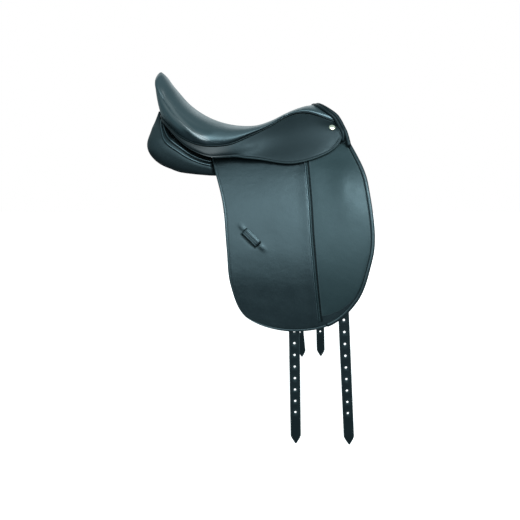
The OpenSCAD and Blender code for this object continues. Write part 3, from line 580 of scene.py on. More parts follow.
def grown(name, tree, lines, values, girths=None):
    """Mesh that a tree grows along lines of points in millimetres."""
    verts, edges = [], []
    for line in lines:
        start = len(verts)
        verts += (np.asarray(line) * MM).tolist()
        edges += [(start + k, start + k + 1) for k in range(len(line) - 1)]
    path = bpy.data.meshes.new(name + "_path")
    path.from_pydata(verts, edges, [])
    if girths is not None:
        layer = path.attributes.new("girth", "FLOAT", "POINT")
        layer.data.foreach_set("value", np.concatenate(girths))
    holder = bpy.data.objects.new(name + "_path", path)
    bpy.context.scene.collection.objects.link(holder)
    growth = holder.modifiers.new("growth", "NODES")
    growth.node_group = tree
    sockets = {s.name: s.identifier for s in tree.interface.items_tree if s.in_out == "INPUT"}
    for label, value in values.items():
        growth[sockets[label]] = value
    shown = holder.evaluated_get(bpy.context.evaluated_depsgraph_get())
    mesh = bpy.data.meshes.new_from_object(shown)
    mesh.name = name
    holder.modifiers.clear()
    bpy.data.objects.remove(holder)
    obj = bpy.data.objects.new(name, mesh)
    bpy.context.scene.collection.objects.link(obj)
    return obj


stitching = stitch_tree()
piping = piping_tree()


LEAST_GIRTH, PIPING_STEP = 0.05, 1.5
PIPING_SHARES = np.concatenate([[0, 0.0015, 0.004], np.linspace(0.008, 0.992, 160), [0.996, 0.9985, 1]])
STITCH_PITCH, STITCH_LENGTH, STITCH_THICK = 3.2, 2.5, 0.7


def round_ends(line, r):
    """Girth along a line that closes in a dome at either end."""
    run = run_along(line)
    d = np.minimum(run, run[-1] - run)
    return np.maximum(np.sqrt(1 - np.clip(1 - d / r, 0, 1) ** 2), LEAST_GIRTH)


def piped(name, lines, r, material):
    """Round piping of a radius along lines, resampled finely."""
    fine = [resample(np.asarray(q, float), PIPING_SHARES) for q in lines]
    return grown(name, piping, fine, {"Radius": r * MM, "Step": PIPING_STEP * MM, "Leather": material},
                 [round_ends(q, r) for q in fine])


def stitched(name, lines):
    return grown(name, stitching, lines, {"Pitch": STITCH_PITCH * MM, "Length": STITCH_LENGTH * MM,
                                          "Thickness": STITCH_THICK * MM, "Thread": thread})


# Seat

# Stations from pommel to cantle: middle line, left seam, and how each section is filled
SPINE = [(168, 0, 103), (148, 0, 99), (124, 0, 91), (98, 0, 80), (62, 0, 63), (20, 0, 51.5),
         (-35, 0, 55), (-88, 0, 72), (-135, 0, 102), (-172, 0, 142), (-195, 0, 170), (-210, 0, 181)]
SEAM = [(222, 68, 57), (166, 66, 77), (132, 64, 80), (100, 67, 70), (60, 84, 46), (18, 106, 25),
        (-33, 127, 3), (-90, 132, 0), (-138, 120, 16), (-174, 96, 44), (-199, 64, 70), (-204, 0, 80)]
ROLL = [0.15, 0.2, 0.25, 0.4, 0.7, 1, 1, 1, 1, 0.9, 0.55, 0.25]
CROWN = [0.66] * 8 + [0.68, 0.74, 0.84, 0.88]
FOAM_SHARE = [0.3, 0.3, 0.35, 0.45, 0.52, 0.62, 0.88, 1, 1, 0.9, 0.7, 0.6]
SHOULDER, ROLL_OUT, CANTLE_RIM, CANTLE_ROUND = 0.42, 26, 22, 1.3
# Fuller top of the cantle: share added to its crown, and rise
FULLER_CROWN, FULLER_RISE = 0.45, 9
# How far an inner layer draws in at the roll, along the section and at the cantle's rim
SINK_ROLL, SINK_ALONG, SINK_RIM = 0.9, 0.45, 0.8
SEAT_T, FOAM_T, PLY = 2.6, 12, 0.3
UP = np.array([0, 0, 1.0])


def over_centre(line):
    x, y, z = line[-2]
    return line + [(x, -y, z)]


TURN = (len(SEAM) - 1) / len(SEAM)


def seam(s):
    return curve(over_centre(SEAM), s * TURN)


def spine(s):
    return curve(over_centre(SPINE), s * TURN)


def seat_out(s):
    """Level direction out from the seam."""
    d = chord(seam, s)
    return unit(np.stack([d[..., 1], -d[..., 0], 0 * d[..., 0]], -1))


def seat_up(s):
    """Square to the middle line, turning straight up at the cantle."""
    d = unit(chord(spine, s))
    w = ease((s - 0.75) / 0.25)[..., None]
    return unit(np.stack([d[..., 2], 0 * d[..., 0], -d[..., 0]], -1) * (1 - w) + UP * w)


def seat_at(s, u, t):
    """Point of the seat at station s, u from the seam to the spine, sunk by t."""
    s, u, t = np.broadcast_arrays(s, u, t)
    e, p, o, n = seam(s), spine(s), seat_out(s), seat_up(s)
    t = t[..., None]
    rise = np.stack([p[..., 0] - e[..., 0], 0 * e[..., 0], p[..., 2] - e[..., 2]], -1)
    roll_out = ROLL_OUT * curve(ROLL, s)[..., None] - SINK_ROLL * t
    a = e + rise * SHOULDER + o * roll_out - unit(rise) * t * SINK_ALONG
    rim = (CANTLE_RIM - SINK_RIM * t[..., 0]) * (1 - ease((u - 0.55) / 0.45))
    fuller = ease((s - 0.82) / 0.1) * (1 - ease((s - 0.95) / 0.05))
    crown = curve(CROWN, s) + FULLER_CROWN * fuller
    b = p + np.stack([o[..., 0] * rim, e[..., 1] * crown, FULLER_RISE * fuller], -1) - n * t
    u = u[..., None]
    w = 1 - u
    at = (e - o * t) * w ** 3 + a * 3 * u * w ** 2 + b * 3 * u ** 2 * w + (p - n * t) * u ** 3
    beside = np.abs(at[..., 1])
    near_top = ease((at[..., 2] - 155) / 20)
    at[..., 2] += CANTLE_ROUND * hump(beside, 11, 12) * (1 - hump(beside, 0, 2.5)) * near_top
    return at


# The side facing of the cantle reaches up to this share of the section at each station
FACING = np.array([(0.55, 0), (0.6, 0.085), (0.657, 0.19), (0.698, 0.27), (0.75, 0.335), (0.8, 0.395),
                   (0.86, 0.44), (0.92, 0.5), (1, 0.56)])
FACING_SOFT = 0.015


def facing_top(s):
    around = np.stack([s - FACING_SOFT, s, s + FACING_SOFT])
    return np.interp(around, FACING[:, 0], FACING[:, 1]).mean(0)


def both_halves(half):
    """Grid over both sides from the left half, whose last column is the spine."""
    whole = np.concatenate([half, flipped(half, -1)[:, -2::-1]], 1)
    whole[-1, :, 1] = 0
    return whole


FACING_START, EDGE_R = 0.565, 0.35
CREST, HOLLOW, DULL_ROLL = 3.4, 2.0, 1.6


def hollow_there(s):
    return ease((s - 0.58) / 0.08) * (1 - ease((s - 0.78) / 0.14))


def crest_relief(s, d):
    """Crest of the roll round the seat, d measured up the section from it, and the hollow above."""
    there = ease((s - 0.59) / 0.06) * (1 - ease((s - 0.84) / 0.16))
    d_crest = np.interp(s, [0.6, 0.68, 0.78, 0.85], [-9, -6, 3, 5])
    crest = CREST * np.where(d > d_crest, hump(d, d_crest, 13), hump(d, d_crest, 10)) * there
    return crest - HOLLOW * hump(d, 36, 16) * hollow_there(s)


def crest_wax(s, d):
    """Wax along the top of the crest, and the dull roll in front of where it starts."""
    d_shine = np.interp(s, [0.68, 0.78], [0, 8])
    shine = hump(d, d_shine, 7) * ease((s - 0.6) / 0.05) * (1 - ease((s - 0.8) / 0.1))
    dull = hump(d, 22, 14) * ease((s - 0.25) / 0.1) * (1 - ease((s - 0.585) / 0.04))
    return shine - DULL_ROLL * dull


def seat_sheet(half, relief, toward, borders):
    """Outer and inner faces of seat leather over the left half, level where it meets the right half."""
    half[-1, :, 1] = 0
    n = normals(half, toward)
    n[-1, :, 1] = 0
    n = unit(n)
    drop = rounded(border_distance(half, borders), EDGE_R)
    return half + n * (relief - drop)[..., None], half - n * (SEAT_T - drop)[..., None]


def seat_piece():
    s = spaced(150, 520, last=False)[:, None]
    v = spaced(60, 150, last=False)[None]
    top = facing_top(s) * ease((s - FACING_START) / 0.006)
    half = seat_at(s, top + (1 - top) * v, 0)
    relief = crest_relief(s, run_from(half, 1))
    outer, inner = seat_sheet(half, relief, UP, "ac")
    for face in (outer, inner):
        face[:, -1, 1] = 0
    waxed = crest_wax(s, run_from(half, 1))
    marks = {"waxed": np.concatenate([waxed, waxed[:, -2::-1]], 1)}
    seat = shell("seat_leather", both_halves(outer), both_halves(inner), seat_leather, marks, joined=True)
    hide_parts("seat_cover")
    return seat


def facing_piece():
    s = np.concatenate([np.linspace(FACING_START, 0.6, 12)[:-1], np.linspace(0.6, 1, 90)])[:, None]
    left = seat_at(s, facing_top(s) * spaced(14, 60)[None], 0)
    relief = crest_relief(s, -run_from(left, 1, True))
    faces = seat_sheet(left, relief, np.array([-0.5, 1, 0.2]), "acd")
    outer, inner = [np.concatenate([g, flipped(g, -1)[-2::-1]], 0) for g in faces]
    waxed = crest_wax(s, run_from(left, 1, True))
    marks = {"waxed": np.concatenate([waxed, waxed[-2::-1]], 0)}
    facing = shell("cantle_side", outer, inner, seat_leather, marks)
    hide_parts("cantle_facing")
    return facing


def foam_piece():
    s = np.linspace(0, 1, 90)[:, None]
    u = np.linspace(0.05, 1, 40)[None]
    rise = run_from(seat_at(s, u, 0), 1)
    crest = np.array([[np.interp(facing_top(k), u[0], r)] for k, r in zip(s[:, 0], rise)])
    depth = SEAT_T + PLY + (HOLLOW + 0.4) * hump(rise - crest, 38, 22) * hollow_there(s)
    outer = both_halves(seat_at(s, u, depth))
    inner = both_halves(seat_at(s, u, SEAT_T + PLY + FOAM_T * np.minimum(1, curve(FOAM_SHARE, s))))
    pad = shell("seat_padding", outer, inner, foam, joined=True)
    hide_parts("seat_foam")
    return pad


SEAT_WELT_R, SEAT_WELT_OUT = 1.8, 0.6
along_seam = np.linspace(0, 1, 140)
welt_left = seam(along_seam) + seat_out(along_seam) * SEAT_WELT_OUT - UP * (SEAT_WELT_R - PLY)
welt_both = np.concatenate([welt_left, flipped(welt_left, -1)[-2::-1]])
seat_welt = piped("seat_piping", [welt_both], SEAT_WELT_R, skirt_leather)
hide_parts("seat_welt")

on_saddle = [seat_piece(), facing_piece(), foam_piece(), seat_welt]


# Barrel that flaps, straps and sweat flaps are moulded to

FLAP_T, FLAP_SPACE, SWEAT_T = 4, 15, 3
BARREL_Z = -330
POINT_ANGLE = math.radians(22)
HEAD_R, HEAD_MID_Z = 58, 27


def leg_y(r, z):
    """Half width of the head, between its points, at a height."""
    down = HEAD_MID_Z + r * math.sin(POINT_ANGLE) - z
    return r * math.cos(POINT_ANGLE) + down * math.tan(POINT_ANGLE)


SPREAD, BAR_ROOM = 115.3, 11.2
BARREL_HALF = leg_y(HEAD_R, 0) + BAR_ROOM + SPREAD
BARREL_R = (SPREAD ** 2 + BARREL_Z ** 2) / (2 * SPREAD)
SWEAT_R = BARREL_R - FLAP_T - FLAP_SPACE


def barrel_y(r, z):
    """Half width at a height of a layer with radius r."""
    up = np.clip(z - BARREL_Z, 0, None)
    return BARREL_HALF - BARREL_R + np.sqrt(r * r - up * up)


def on_barrel(xz, r):
    return np.stack([xz[..., 0], barrel_y(r, xz[..., 1]), xz[..., 1]], -1)


# Skirts

# The band under the seat ends at one share of the seam, and the lifting lobe at another
SKIRT_T, SKIRT_END, SKIRT_SPLIT = 4, 0.88, 0.52
SKIRT_R = BARREL_R + 8
SEAM_DROP = 2 * (SEAT_WELT_R + PLY) + 0.6
SKIRT_TUCK = 3.2
BAND_SWELL, LOBE_SWELL, REAR_OUT, SKIRT_WAX = 5, 3.0, 12, 0.22
SKIRT_REAR = np.array([-20, float(barrel_y(SKIRT_R, -28)), -28])
SKIRT_FRONT = np.array([234.0, 88, 26])
TAIL = [SKIRT_REAR, (-52, SKIRT_REAR[1] + 12, -30), (-84, 136, -28), (-132, 124, -6.5), (-172, 96, 30),
        (-202, 62, 62)]
LOBE_XZ = [(228, 3), (205, -15), (173, -29), (141, -38), (109, -43), (78, -40), (38, -32.5), (4, -30)]
LOBE = [SKIRT_FRONT + (1, 0.6, -4), *[(x, float(barrel_y(SKIRT_R, z)), z) for x, z in LOBE_XZ],
        SKIRT_REAR + (4, 0.4, -1.4)]


def skirt_band(s, w):
    """Fixed band of the skirt, w from the bending line or the tail's edge to the seam."""
    top = seam(np.array(s)) - UP * SEAM_DROP
    if s <= SKIRT_SPLIT:
        foot = SKIRT_FRONT + (SKIRT_REAR - SKIRT_FRONT) * (s / SKIRT_SPLIT)
    else:
        foot = curve(TAIL, np.array((s - SKIRT_SPLIT) / (SKIRT_END - SKIRT_SPLIT)))
    length = np.linalg.norm(top - foot)
    w = np.asarray(w, float)[..., None]
    swell_out = BAND_SWELL * np.sin(np.pi * w) * min(1, length / 40)
    return foot + (top - foot) * w + seat_out(np.array(s)) * swell_out


def skirt_row(s, shares):
    """Points of the skirt at one station, from under the seat piping to the lower edge."""
    q = np.linspace(0, 1, 30)
    line = skirt_band(s, 1 - q)
    line[0] += (0, 0, SEAM_DROP - SKIRT_TUCK * ease(0.15 + s / 0.1))
    if s < SKIRT_SPLIT:
        share = s / SKIRT_SPLIT
        foot = line[-1]
        edge = foot + (curve(LOBE, np.array(share)) - foot) * ease((1 - share) / 0.1)
        deep = np.linalg.norm(edge - foot)
        swell_out = np.array([0, LOBE_SWELL, 0]) * np.sin(np.pi * q[:, None]) * min(1, deep / 30)
        line = np.concatenate([line, (foot + (edge - foot) * q[:, None] + swell_out)[1:]])
    even = np.linspace(0, 1, 60)
    line = resample(line, even)
    line[:, 1] += REAR_OUT * hump(s, 0.485, 0.085) * even ** 1.4
    return resample(softened(line, int(20 + 140 * ease((s - 0.02) / 0.1))), shares)


def skirt_grid():
    across = spaced(26, 70)
    grid = np.array([skirt_row(s, across) for s in SKIRT_END * spaced(150, 470)])
    inside = slice(len(FINE), -len(FINE))
    grid[inside] = softened(grid[inside], 30)
    return grid


SKIRT_GRID = skirt_grid()
SKIRT_FACES = np.array([0, 1, 0.5])
# Bead and groove pressed along an edge
EDGE_RELIEF = 0.5


def skirt_piece(side, sign):
    d = border_distance(SKIRT_GRID, "ad")
    relief = EDGE_RELIEF * (hump(d, 2.6, 1.8) - hump(d, 6.2, 1.3))
    waxed = SKIRT_WAX * ease((-15 - SKIRT_GRID[..., 0]) / 60)
    skirt = leather_sheet("skirt_leather_" + side, flipped(SKIRT_GRID, sign), SKIRT_T,
                          flipped(SKIRT_FACES, sign), "abcd", skirt_leather, relief, {"waxed": waxed})
    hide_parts("skirt_" + side, "skirt_top_" + side)
    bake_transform(skirt)


NAIL_S, NAIL_W, NAIL_R, NAIL_H = 0.035, 0.52, 8.2, 3.4
# Shank and underside of the nail, as radius and height
NAIL_SHANK = [(1.5, -8), (1.5, -0.5), (NAIL_R - 0.4, -0.2), (NAIL_R, 0.3)]


def nail_piece(side, sign):
    """Domed nail through the front of the skirt."""
    near = np.linalg.norm(SKIRT_GRID - skirt_band(NAIL_S, NAIL_W), axis=-1)
    i, j = np.unravel_index(near.argmin(), near.shape)
    n = normals(SKIRT_GRID, SKIRT_FACES)[i, j]
    a = unit(np.cross(n, UP))
    b = np.cross(n, a)
    rim_r, rim_h = NAIL_SHANK[-1]
    dome = [(rim_r * math.cos(q), rim_h + NAIL_H * math.sin(q)) for q in np.linspace(0.1, 1.5, 14)]
    turn = np.linspace(0, 2 * np.pi, 48, endpoint=False)[:, None]
    circle = np.cos(turn) * a + np.sin(turn) * b
    rings = np.array([SKIRT_GRID[i, j] + r * circle + n * h for r, h in NAIL_SHANK + dome])
    nail = loft("skirt_nail_" + side, flipped(rings, sign), nail_metal)
    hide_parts("nail_" + side)
    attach(nail, "saddle")


# Pommel

POMMEL_WELT_R, POMMEL_ROLL_R, PRESSED = 4, 5.5, 0.6
ROLL_END = (250, -3)
HEAD_FACE_X, HEAD_SLANT = 221.5, 0.3
LINER_R, LINER_T, LINER_LOW = HEAD_R + 2.5, 1.6, 4


def pommel_lines():
    """Left halves of the piping round the seat's front edge and of the roll in front of it."""
    w = np.linspace(0, 1, 6)[:, None]
    seat_edge = seat_at(np.zeros(6), 1 - 0.9 * w[:, 0], 0)
    forward = np.array([1, 0, 0]) * (1 - w) + np.array([0.75, 0.1, 0.66]) * w
    welt = seat_edge + (POMMEL_WELT_R - PRESSED) * forward
    beside = (POMMEL_WELT_R - 2) * unit(np.array([1, -0.1, 0.45]))
    lower = [skirt_band(0, np.array([0.62, 0.3, 0])) + beside, LOBE[:1] + beside - (2, 0, 14)]
    welt = np.concatenate([welt, *lower])
    f = np.linspace(0, 1, len(welt))
    t = heading(welt, f)
    d = np.stack([1 - 0.25 * f, -0.62 * f, 0.12 * f - 0.05], -1)
    d = unit(d - t * np.sum(d * t, -1, keepdims=True))
    roll = welt + (POMMEL_WELT_R + POMMEL_ROLL_R - PRESSED) * d
    roll[0, 1] = 0
    end_x, end_z = ROLL_END
    roll[-1] = (end_x, float(barrel_y(BARREL_R, end_z)) + POMMEL_ROLL_R + 2, end_z)
    return welt, roll


def pommel_curve(line):
    return softened(curve(line, np.linspace(0, 1, 80)), 20)


def pommel_liner():
    """Leather from the roll to the face of the head, over the front of the padding."""
    roll = pommel_curve(pommel_lines()[1])
    roll = roll[roll[:, 2] > LINER_LOW]
    angle = np.arctan2(roll[:, 1], roll[:, 2] - HEAD_MID_Z)
    on_arc = angle < math.pi / 2 - POINT_ANGLE
    z_leg = HEAD_MID_Z + LINER_R * math.sin(POINT_ANGLE) + roll[:, 2] - roll[on_arc][-1, 2]
    y = np.where(on_arc, LINER_R * np.sin(angle), leg_y(LINER_R, z_leg))
    z = np.where(on_arc, HEAD_MID_Z + LINER_R * np.cos(angle), z_leg)
    face = np.stack([HEAD_FACE_X - HEAD_SLANT * z, y, z], -1)
    left = roll[:, None] + (face - roll)[:, None] * spaced(8, 20)[None, :, None]
    grid = np.concatenate([flipped(left, -1)[:0:-1], left])
    return leather_sheet("pommel_liner", grid, LINER_T, np.array([1, 0, 0.2]), "abcd", panel_leather, 0, {})


def pommel_pieces():
    pieces = [pommel_liner()]
    welt, roll = pommel_lines()
    for name, line, r in (("pommel_welt", welt, POMMEL_WELT_R), ("pommel_roll", roll, POMMEL_ROLL_R)):
        left = pommel_curve(line)
        whole = np.concatenate([left[::-1], flipped(left, -1)[1:]])
        piece = piped(name + "_leather", [whole], r, skirt_leather)
        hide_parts(name)
        pieces.append(piece)
    return pieces


# Flaps

EDGE = [(-80, -8), (-68, -56), (-47, -135), (-38, -230), (-29, -316), (6, -391), (97, -425), (198, -412),
        (262, -352), (290, -268), (298, -205), (290, -112), (280, -56), (248, 20)]
EDGE_N = len(EDGE) - 1
WELT_LINE = [(148, -36), (153, -124), (157, -205), (166, -303), (179, -411)]
BINDING_W, WELT_W, WELT_BEAD = 8, 10, 6
# The welt is carried on straight above its first point, by this much for each share of its length
WELT_ABOVE = np.array([-2.0, -90.0])
KNEE_SWELL, WELT_RISE = 6.5, 1.9
RIPPLE_WIDE, RIPPLE_FINE = (0.45, 85, 3), (0.1, 30, 8)
KEEPER = {"x": 19, "z": -207, "len": 44, "w": 17, "t": 2.4}
# Span across the keeper, below and above its middle, of the near-black sheet that paints the shadow under it
KEEPER_SHADOW_SPAN = (-13, 7)
KEEPER_TILT = math.asin((KEEPER["z"] - BARREL_Z) / BARREL_R)
STRAIN_UP, STRAIN_IN = 2.3, 1.8
SLANT = math.sqrt(0.5)


def edge_in(t, d):
    """Outline of the flap at place t, moved in by d."""
    h = heading(EDGE, t / EDGE_N)
    return curve(EDGE, t / EDGE_N) + d * np.stack([-h[..., 1], h[..., 0]], -1)


def welt_at(t):
    base = curve(WELT_LINE, np.clip(t, 0, 1))
    return base + np.minimum(t, 0)[..., None] * WELT_ABOVE


def coons(left, right, top, bottom, u, v):
    """Grid filling four border curves, rows from top to bottom."""
    a, b = left(v)[:, None], right(v)[:, None]
    c, d = top(u)[None], bottom(u)[None]
    uu, vv = u[None, :, None], v[:, None, None]
    corner = ((1 - uu) * (1 - vv) * c[:, :1] + uu * (1 - vv) * c[:, -1:]
              + (1 - uu) * vv * d[:, :1] + uu * vv * d[:, -1:])
    return (1 - uu) * a + uu * b + (1 - vv) * c + vv * d - corner


def swell(xz):
    """Lift of the flap over the knee block, in front of the raised seam."""
    return KNEE_SWELL * hump(xz[..., 0], 231, 30) * hump(xz[..., 1], -92, 52)


def rise_to_welt(xz):
    """Lift of the flap behind the raised seam, up to its bead."""
    line = welt_at(np.linspace(0, 1, 80))
    d = xz[..., 0] - np.interp(-xz[..., 1], -line[:, 1], line[:, 0]) + WELT_BEAD
    return WELT_RISE * np.where(d < 0, hump(d, 0, 13), hump(d, 0, 1.6)) * ease((-40 - xz[..., 1]) / 30)


def keeper_frame(xz):
    """Places along and across the keeper, which lies at 45 degrees to the fall of the flap."""
    x, q = xz[..., 0] - KEEPER["x"], (xz[..., 1] - KEEPER["z"]) / math.cos(KEEPER_TILT)
    return (x - q) * SLANT, (x + q) * SLANT


def keeper_strain(xz):
    """Leather of the flap drawn up over the hidden ends of the keeper, and pressed in below it."""
    a, b = keeper_frame(xz)
    beyond = np.abs(a) - KEEPER["len"] / 2
    ends = STRAIN_UP * hump(beyond, 9, 10) * hump(b, 1, 5)
    return ends - STRAIN_IN * hump(b, -10, 5) * ease(-beyond / 6)


def unevenness(xz):
    """Slow ripples of stretched leather, none near the hidden top."""
    flat = np.stack([xz[..., 0], xz[..., 1], 0 * xz[..., 0]], -1)
    ripple = sum(high * noise_at(flat, size, seed) for high, size, seed in (RIPPLE_WIDE, RIPPLE_FINE))
    return ripple * ease((-45 - xz[..., 1]) / 40)


def ply_sheet(name, xz, top, bottom, side, material):
    """Leather on the barrel between two heights over its surface, with rounded borders."""
    d = flat_distance(xz, "abcd")
    drop = RIM * rounded(d, (top - bottom) / 2)
    outer = flipped(on_barrel(xz, BARREL_R + top - drop), SIDES[side])
    inner = flipped(on_barrel(xz, BARREL_R + bottom + drop), SIDES[side])
    return shell(name + "_" + side, outer, inner, material, {"edge": hump(d, WEAR_AT, WEAR_WIDE)})


def bend_with_flap(obj, side, *nodes):
    """Hides the solids that the piece replaces, if any, and bakes its placement into its mesh."""
    if nodes:
        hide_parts(*[n + "_" + side for n in nodes])
    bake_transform(obj)


def flap_lift(xz):
    return swell(xz) + rise_to_welt(xz) + keeper_strain(xz) + unevenness(xz)


def between(first, last, d):
    """Border curve along the flap's outline from one place to another, moved in by d."""
    return lambda q: edge_in(first + (last - first) * q, d)


# Hidden top of the flap, stepped round the stirrup bar
FLAP_TOP_X, FLAP_TOP_Z = [-80, 76, 90, 203, 214, 248], [-8, -8, -19, -19, 6, 20]
STITCH_IN = 5.8


def flap_piece(side):
    def top(u):
        x = np.interp(u, [0, 1], [EDGE[0][0], EDGE[-1][0]])
        return np.stack([x, np.interp(x, FLAP_TOP_X, FLAP_TOP_Z)], -1)

    xz = coons(between(0, 5, 0), between(EDGE_N, 8, 0), top, between(5, 8, 0),
               spaced(110, 335), spaced(140, 430))
    d = flat_distance(xz, "bc")
    lift = flap_lift(xz) - 0.5 * hump(d, STITCH_IN, 1.0) + 0.25 * hump(d, 3, 2)
    flap = ply_sheet("flap_leather", xz, lift, swell(xz) - FLAP_T, side, flap_leather)
    bend_with_flap(flap, side, "flap", "flap_top")


INLAY_IN = BINDING_W + 1.6
INLAY_LOW, INLAY_TURN, INLAY_TOP = 7.02, 8.3, 12.86
INLAY_T, INLAY_PUFF = 2.3, 1.7


def inlay_piece(side):
    right = between(INLAY_TOP, INLAY_TURN, INLAY_IN)
    foot = between(INLAY_LOW, INLAY_TURN, INLAY_IN)

    def left(q):
        return welt_at(-0.12 + 1.05 * q) + (WELT_W / 2 - 0.8, 0)

    def top(q):
        return left(np.zeros(1)) * (1 - q[:, None]) + right(np.zeros(1)) * q[:, None]

    def bottom(q):
        miss = left(np.ones(1)) - foot(np.zeros(1))
        return foot(q) + miss * ((1 - q) ** 2)[:, None]

    xz = coons(left, right, top, bottom, spaced(36, 120), spaced(96, 400))
    clear = ease((-28 - xz[..., 1]) / 30)
    puff = INLAY_PUFF * (1 - np.exp(-flat_distance(xz, "bcd") / 12)) * clear
    lift = swell(xz) + INLAY_T + puff + 0.6 * unevenness(xz)
    inlay = ply_sheet("knee_inlay", xz, lift, swell(xz) + 0.2, side, knee_leather)
    bend_with_flap(inlay, side, "flap_inlay")


def strip_along(name, path, across, section, side, material):
    """Loft of a section, or of one for each place, along a line on the flap: rows are (across, height)."""
    section = np.broadcast_to(section, (len(path), *section.shape[-2:]))
    xz = path[:, None] + across[:, None] * section[..., :1]
    rings = on_barrel(xz, BARREL_R + section[..., 1] + swell(xz) + unevenness(xz))
    return loft(name + "_" + side, flipped(rings, SIDES[side]), material)


def smooth_ring(points, count):
    """Closed smooth ring through points."""
    p = np.array(points, float)
    wide = np.concatenate([p[-2:], p, p[:3]])
    n = len(wide) - 1
    t = (2 + len(p) * np.linspace(0, 1, count, endpoint=False)) / n
    return curve(wide, t)


# Bound edge: from the groove beside the inlay over the roll, round the edge and back inside
BOUND = [(8.4, 0.1), (8.1, 1.9), (6.4, 3.2), (4.0, 3.6), (1.4, 3.1), (-0.5, 1.5), (-1.2, -1.2),
         (-0.9, -3.6), (1.0, -4.9), (4.5, -4.9), (8.0, -4.4), (8.4, -3.0)]
BOUND_FIRST, BOUND_LAST, BOUND_MIDDLE = 6.93, 12.93, np.array([3.8, -0.6])


def binding_piece(side):
    t = np.linspace(BOUND_FIRST, BOUND_LAST, 170)
    path = edge_in(t, 0)
    h = heading(EDGE, t / EDGE_N)
    inward = np.stack([-h[:, 1], h[:, 0]], -1)
    ring = smooth_ring(BOUND, 40)
    close = np.clip(np.minimum((t - BOUND_FIRST) / 0.05, (BOUND_LAST - t) / 0.04), 0, 1)
    shrink = np.sqrt(1 - (1 - close) ** 2) * 0.92 + 0.08
    section = BOUND_MIDDLE + (ring - BOUND_MIDDLE) * shrink[:, None, None]
    roll = strip_along("bound_edge", path, inward, section, side, flap_leather)
    bend_with_flap(roll, side, "flap_binding")


# Sections of the raised seam, as places across it and heights
BEAD = np.array([(-7.2, 0), (-7.0, 1.6), (-6.4, 2.5), (-5.4, 2.8), (-4.4, 2.5), (-3.6, 1.6), (-3.2, 0.1),
                 (-5, -0.4)])
CORD = np.array([(-3.4, 0), (-3.1, 0.9), (-2.3, 1.6), (-1.0, 1.9), (0.3, 1.6), (1.1, 0.9), (1.4, 0),
                 (-1, -0.4)])
# The groove is lined with near-black leather that paints the shade in it
GROOVE = np.array([(1, 0.25), (3, 0.3), (5.6, 0.3), (5.8, -0.2), (3, -0.5), (1, -0.4)])


def welt_pieces(side):
    """Raised seam: bead along its rear edge, cord, and the groove beside the inlay, the groove lined in
    near-black leather as painted shade.
    """
    t = np.linspace(-0.1, 0.965, 150)
    path = welt_at(t)
    step = unit(np.gradient(path, axis=0))
    across = np.stack([-step[:, 1], step[:, 0]], -1)
    across = across * np.sign(across[:, :1])
    bead = strip_along("seam_bead", path, across, BEAD, side, seat_leather)
    bend_with_flap(bead, side, "flap_welt")
    bend_with_flap(strip_along("seam_cord", path, across, CORD, side, knee_leather), side)
    bend_with_flap(strip_along("seam_groove", path, across, GROOVE, side, painted_shade_leather), side)


# Half of the keeper's run, as places along it and heights over the flap
KEEPER_HALF = [(0, 9.7), (9, 9.6), (17, 9.2), (20.8, 8.2), (22.5, 5.6), (23, 1.8), (23.1, -2), (24, -4.6),
               (27, -5.2), (34, -5.2)]
KEEPER_PATH = [(-x, h) for x, h in KEEPER_HALF[:0:-1]] + KEEPER_HALF


def keeper_piece(side):
    middle = on_barrel(np.array([KEEPER["x"], KEEPER["z"]]), BARREL_R)
    out = np.array([0, math.cos(KEEPER_TILT), math.sin(KEEPER_TILT)])
    up = np.array([0, -math.sin(KEEPER_TILT), math.cos(KEEPER_TILT)])
    fore = np.array([1.0, 0, 0])
    a_way, b_way = (fore - up) * SLANT, (fore + up) * SLANT
    path = curve(KEEPER_PATH, np.linspace(0, 1, 110))
    b = (spaced(8, KEEPER["w"]) - 0.5) * KEEPER["w"]
    grid = middle + path[:, None, :1] * a_way + b[None, :, None] * b_way + path[:, None, 1:] * out
    d = border_distance(grid, "cd")
    relief = 0.8 * ease(d / 6) - 0.35 * hump(d, 3.0, 0.8)
    sign = SIDES[side]
    keeper = leather_sheet("leather_loop_" + side, flipped(grid, sign), KEEPER["t"], flipped(out, sign),
                           "abcd", flap_leather, relief, {})
    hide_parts("leather_keeper_" + side)
    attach(keeper, "flap_" + side)


def keeper_painted_shadow(side):
    """Dull near-black sheet behind the keeper, showing along its lower side and in the slits at its ends:
    painted shadow under the keeper and in its slits.
    """
    a = (KEEPER["len"] + 4) * (spaced(12, 50) - 0.5)[:, None]
    b = (KEEPER_SHADOW_SPAN[0] + (KEEPER_SHADOW_SPAN[1] - KEEPER_SHADOW_SPAN[0]) * spaced(8, 20))[None]
    across, fall = (a + b) * SLANT, (b - a) * SLANT
    xz = np.stack([KEEPER["x"] + across, KEEPER["z"] + fall * math.cos(KEEPER_TILT)], -1)
    lift = flap_lift(xz)
    back = ply_sheet("keeper_painted_shadow", xz, lift + 0.5, lift - 0.7, side, painted_shade_leather)
    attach(back, "flap_" + side)


def flap_stitches(side):
    """Thread along the raised seam and round the free edge."""
    def laid(xz, h):
        return flipped(on_barrel(xz, BARREL_R + h + swell(xz)), SIDES[side])

    seam_row = welt_at(np.linspace(0.02, 0.95, 400))
    free_edge = edge_in(np.linspace(1.2, 6.9, 500), STITCH_IN)
    rows = [laid(seam_row, 2.5), laid(free_edge, 0.0)]
    bend_with_flap(stitched("flap_stitches_" + side, rows), side)


# Behind the flaps

# Inset of the sweat flap and its corners, as places on the flap's outline
SWEAT_IN, SWEAT_CORNERS = 16, (1.15, 4.9, 8.05, 11.8)
BLOCK_IN, BLOCK_CLEAR = 24, 0.5


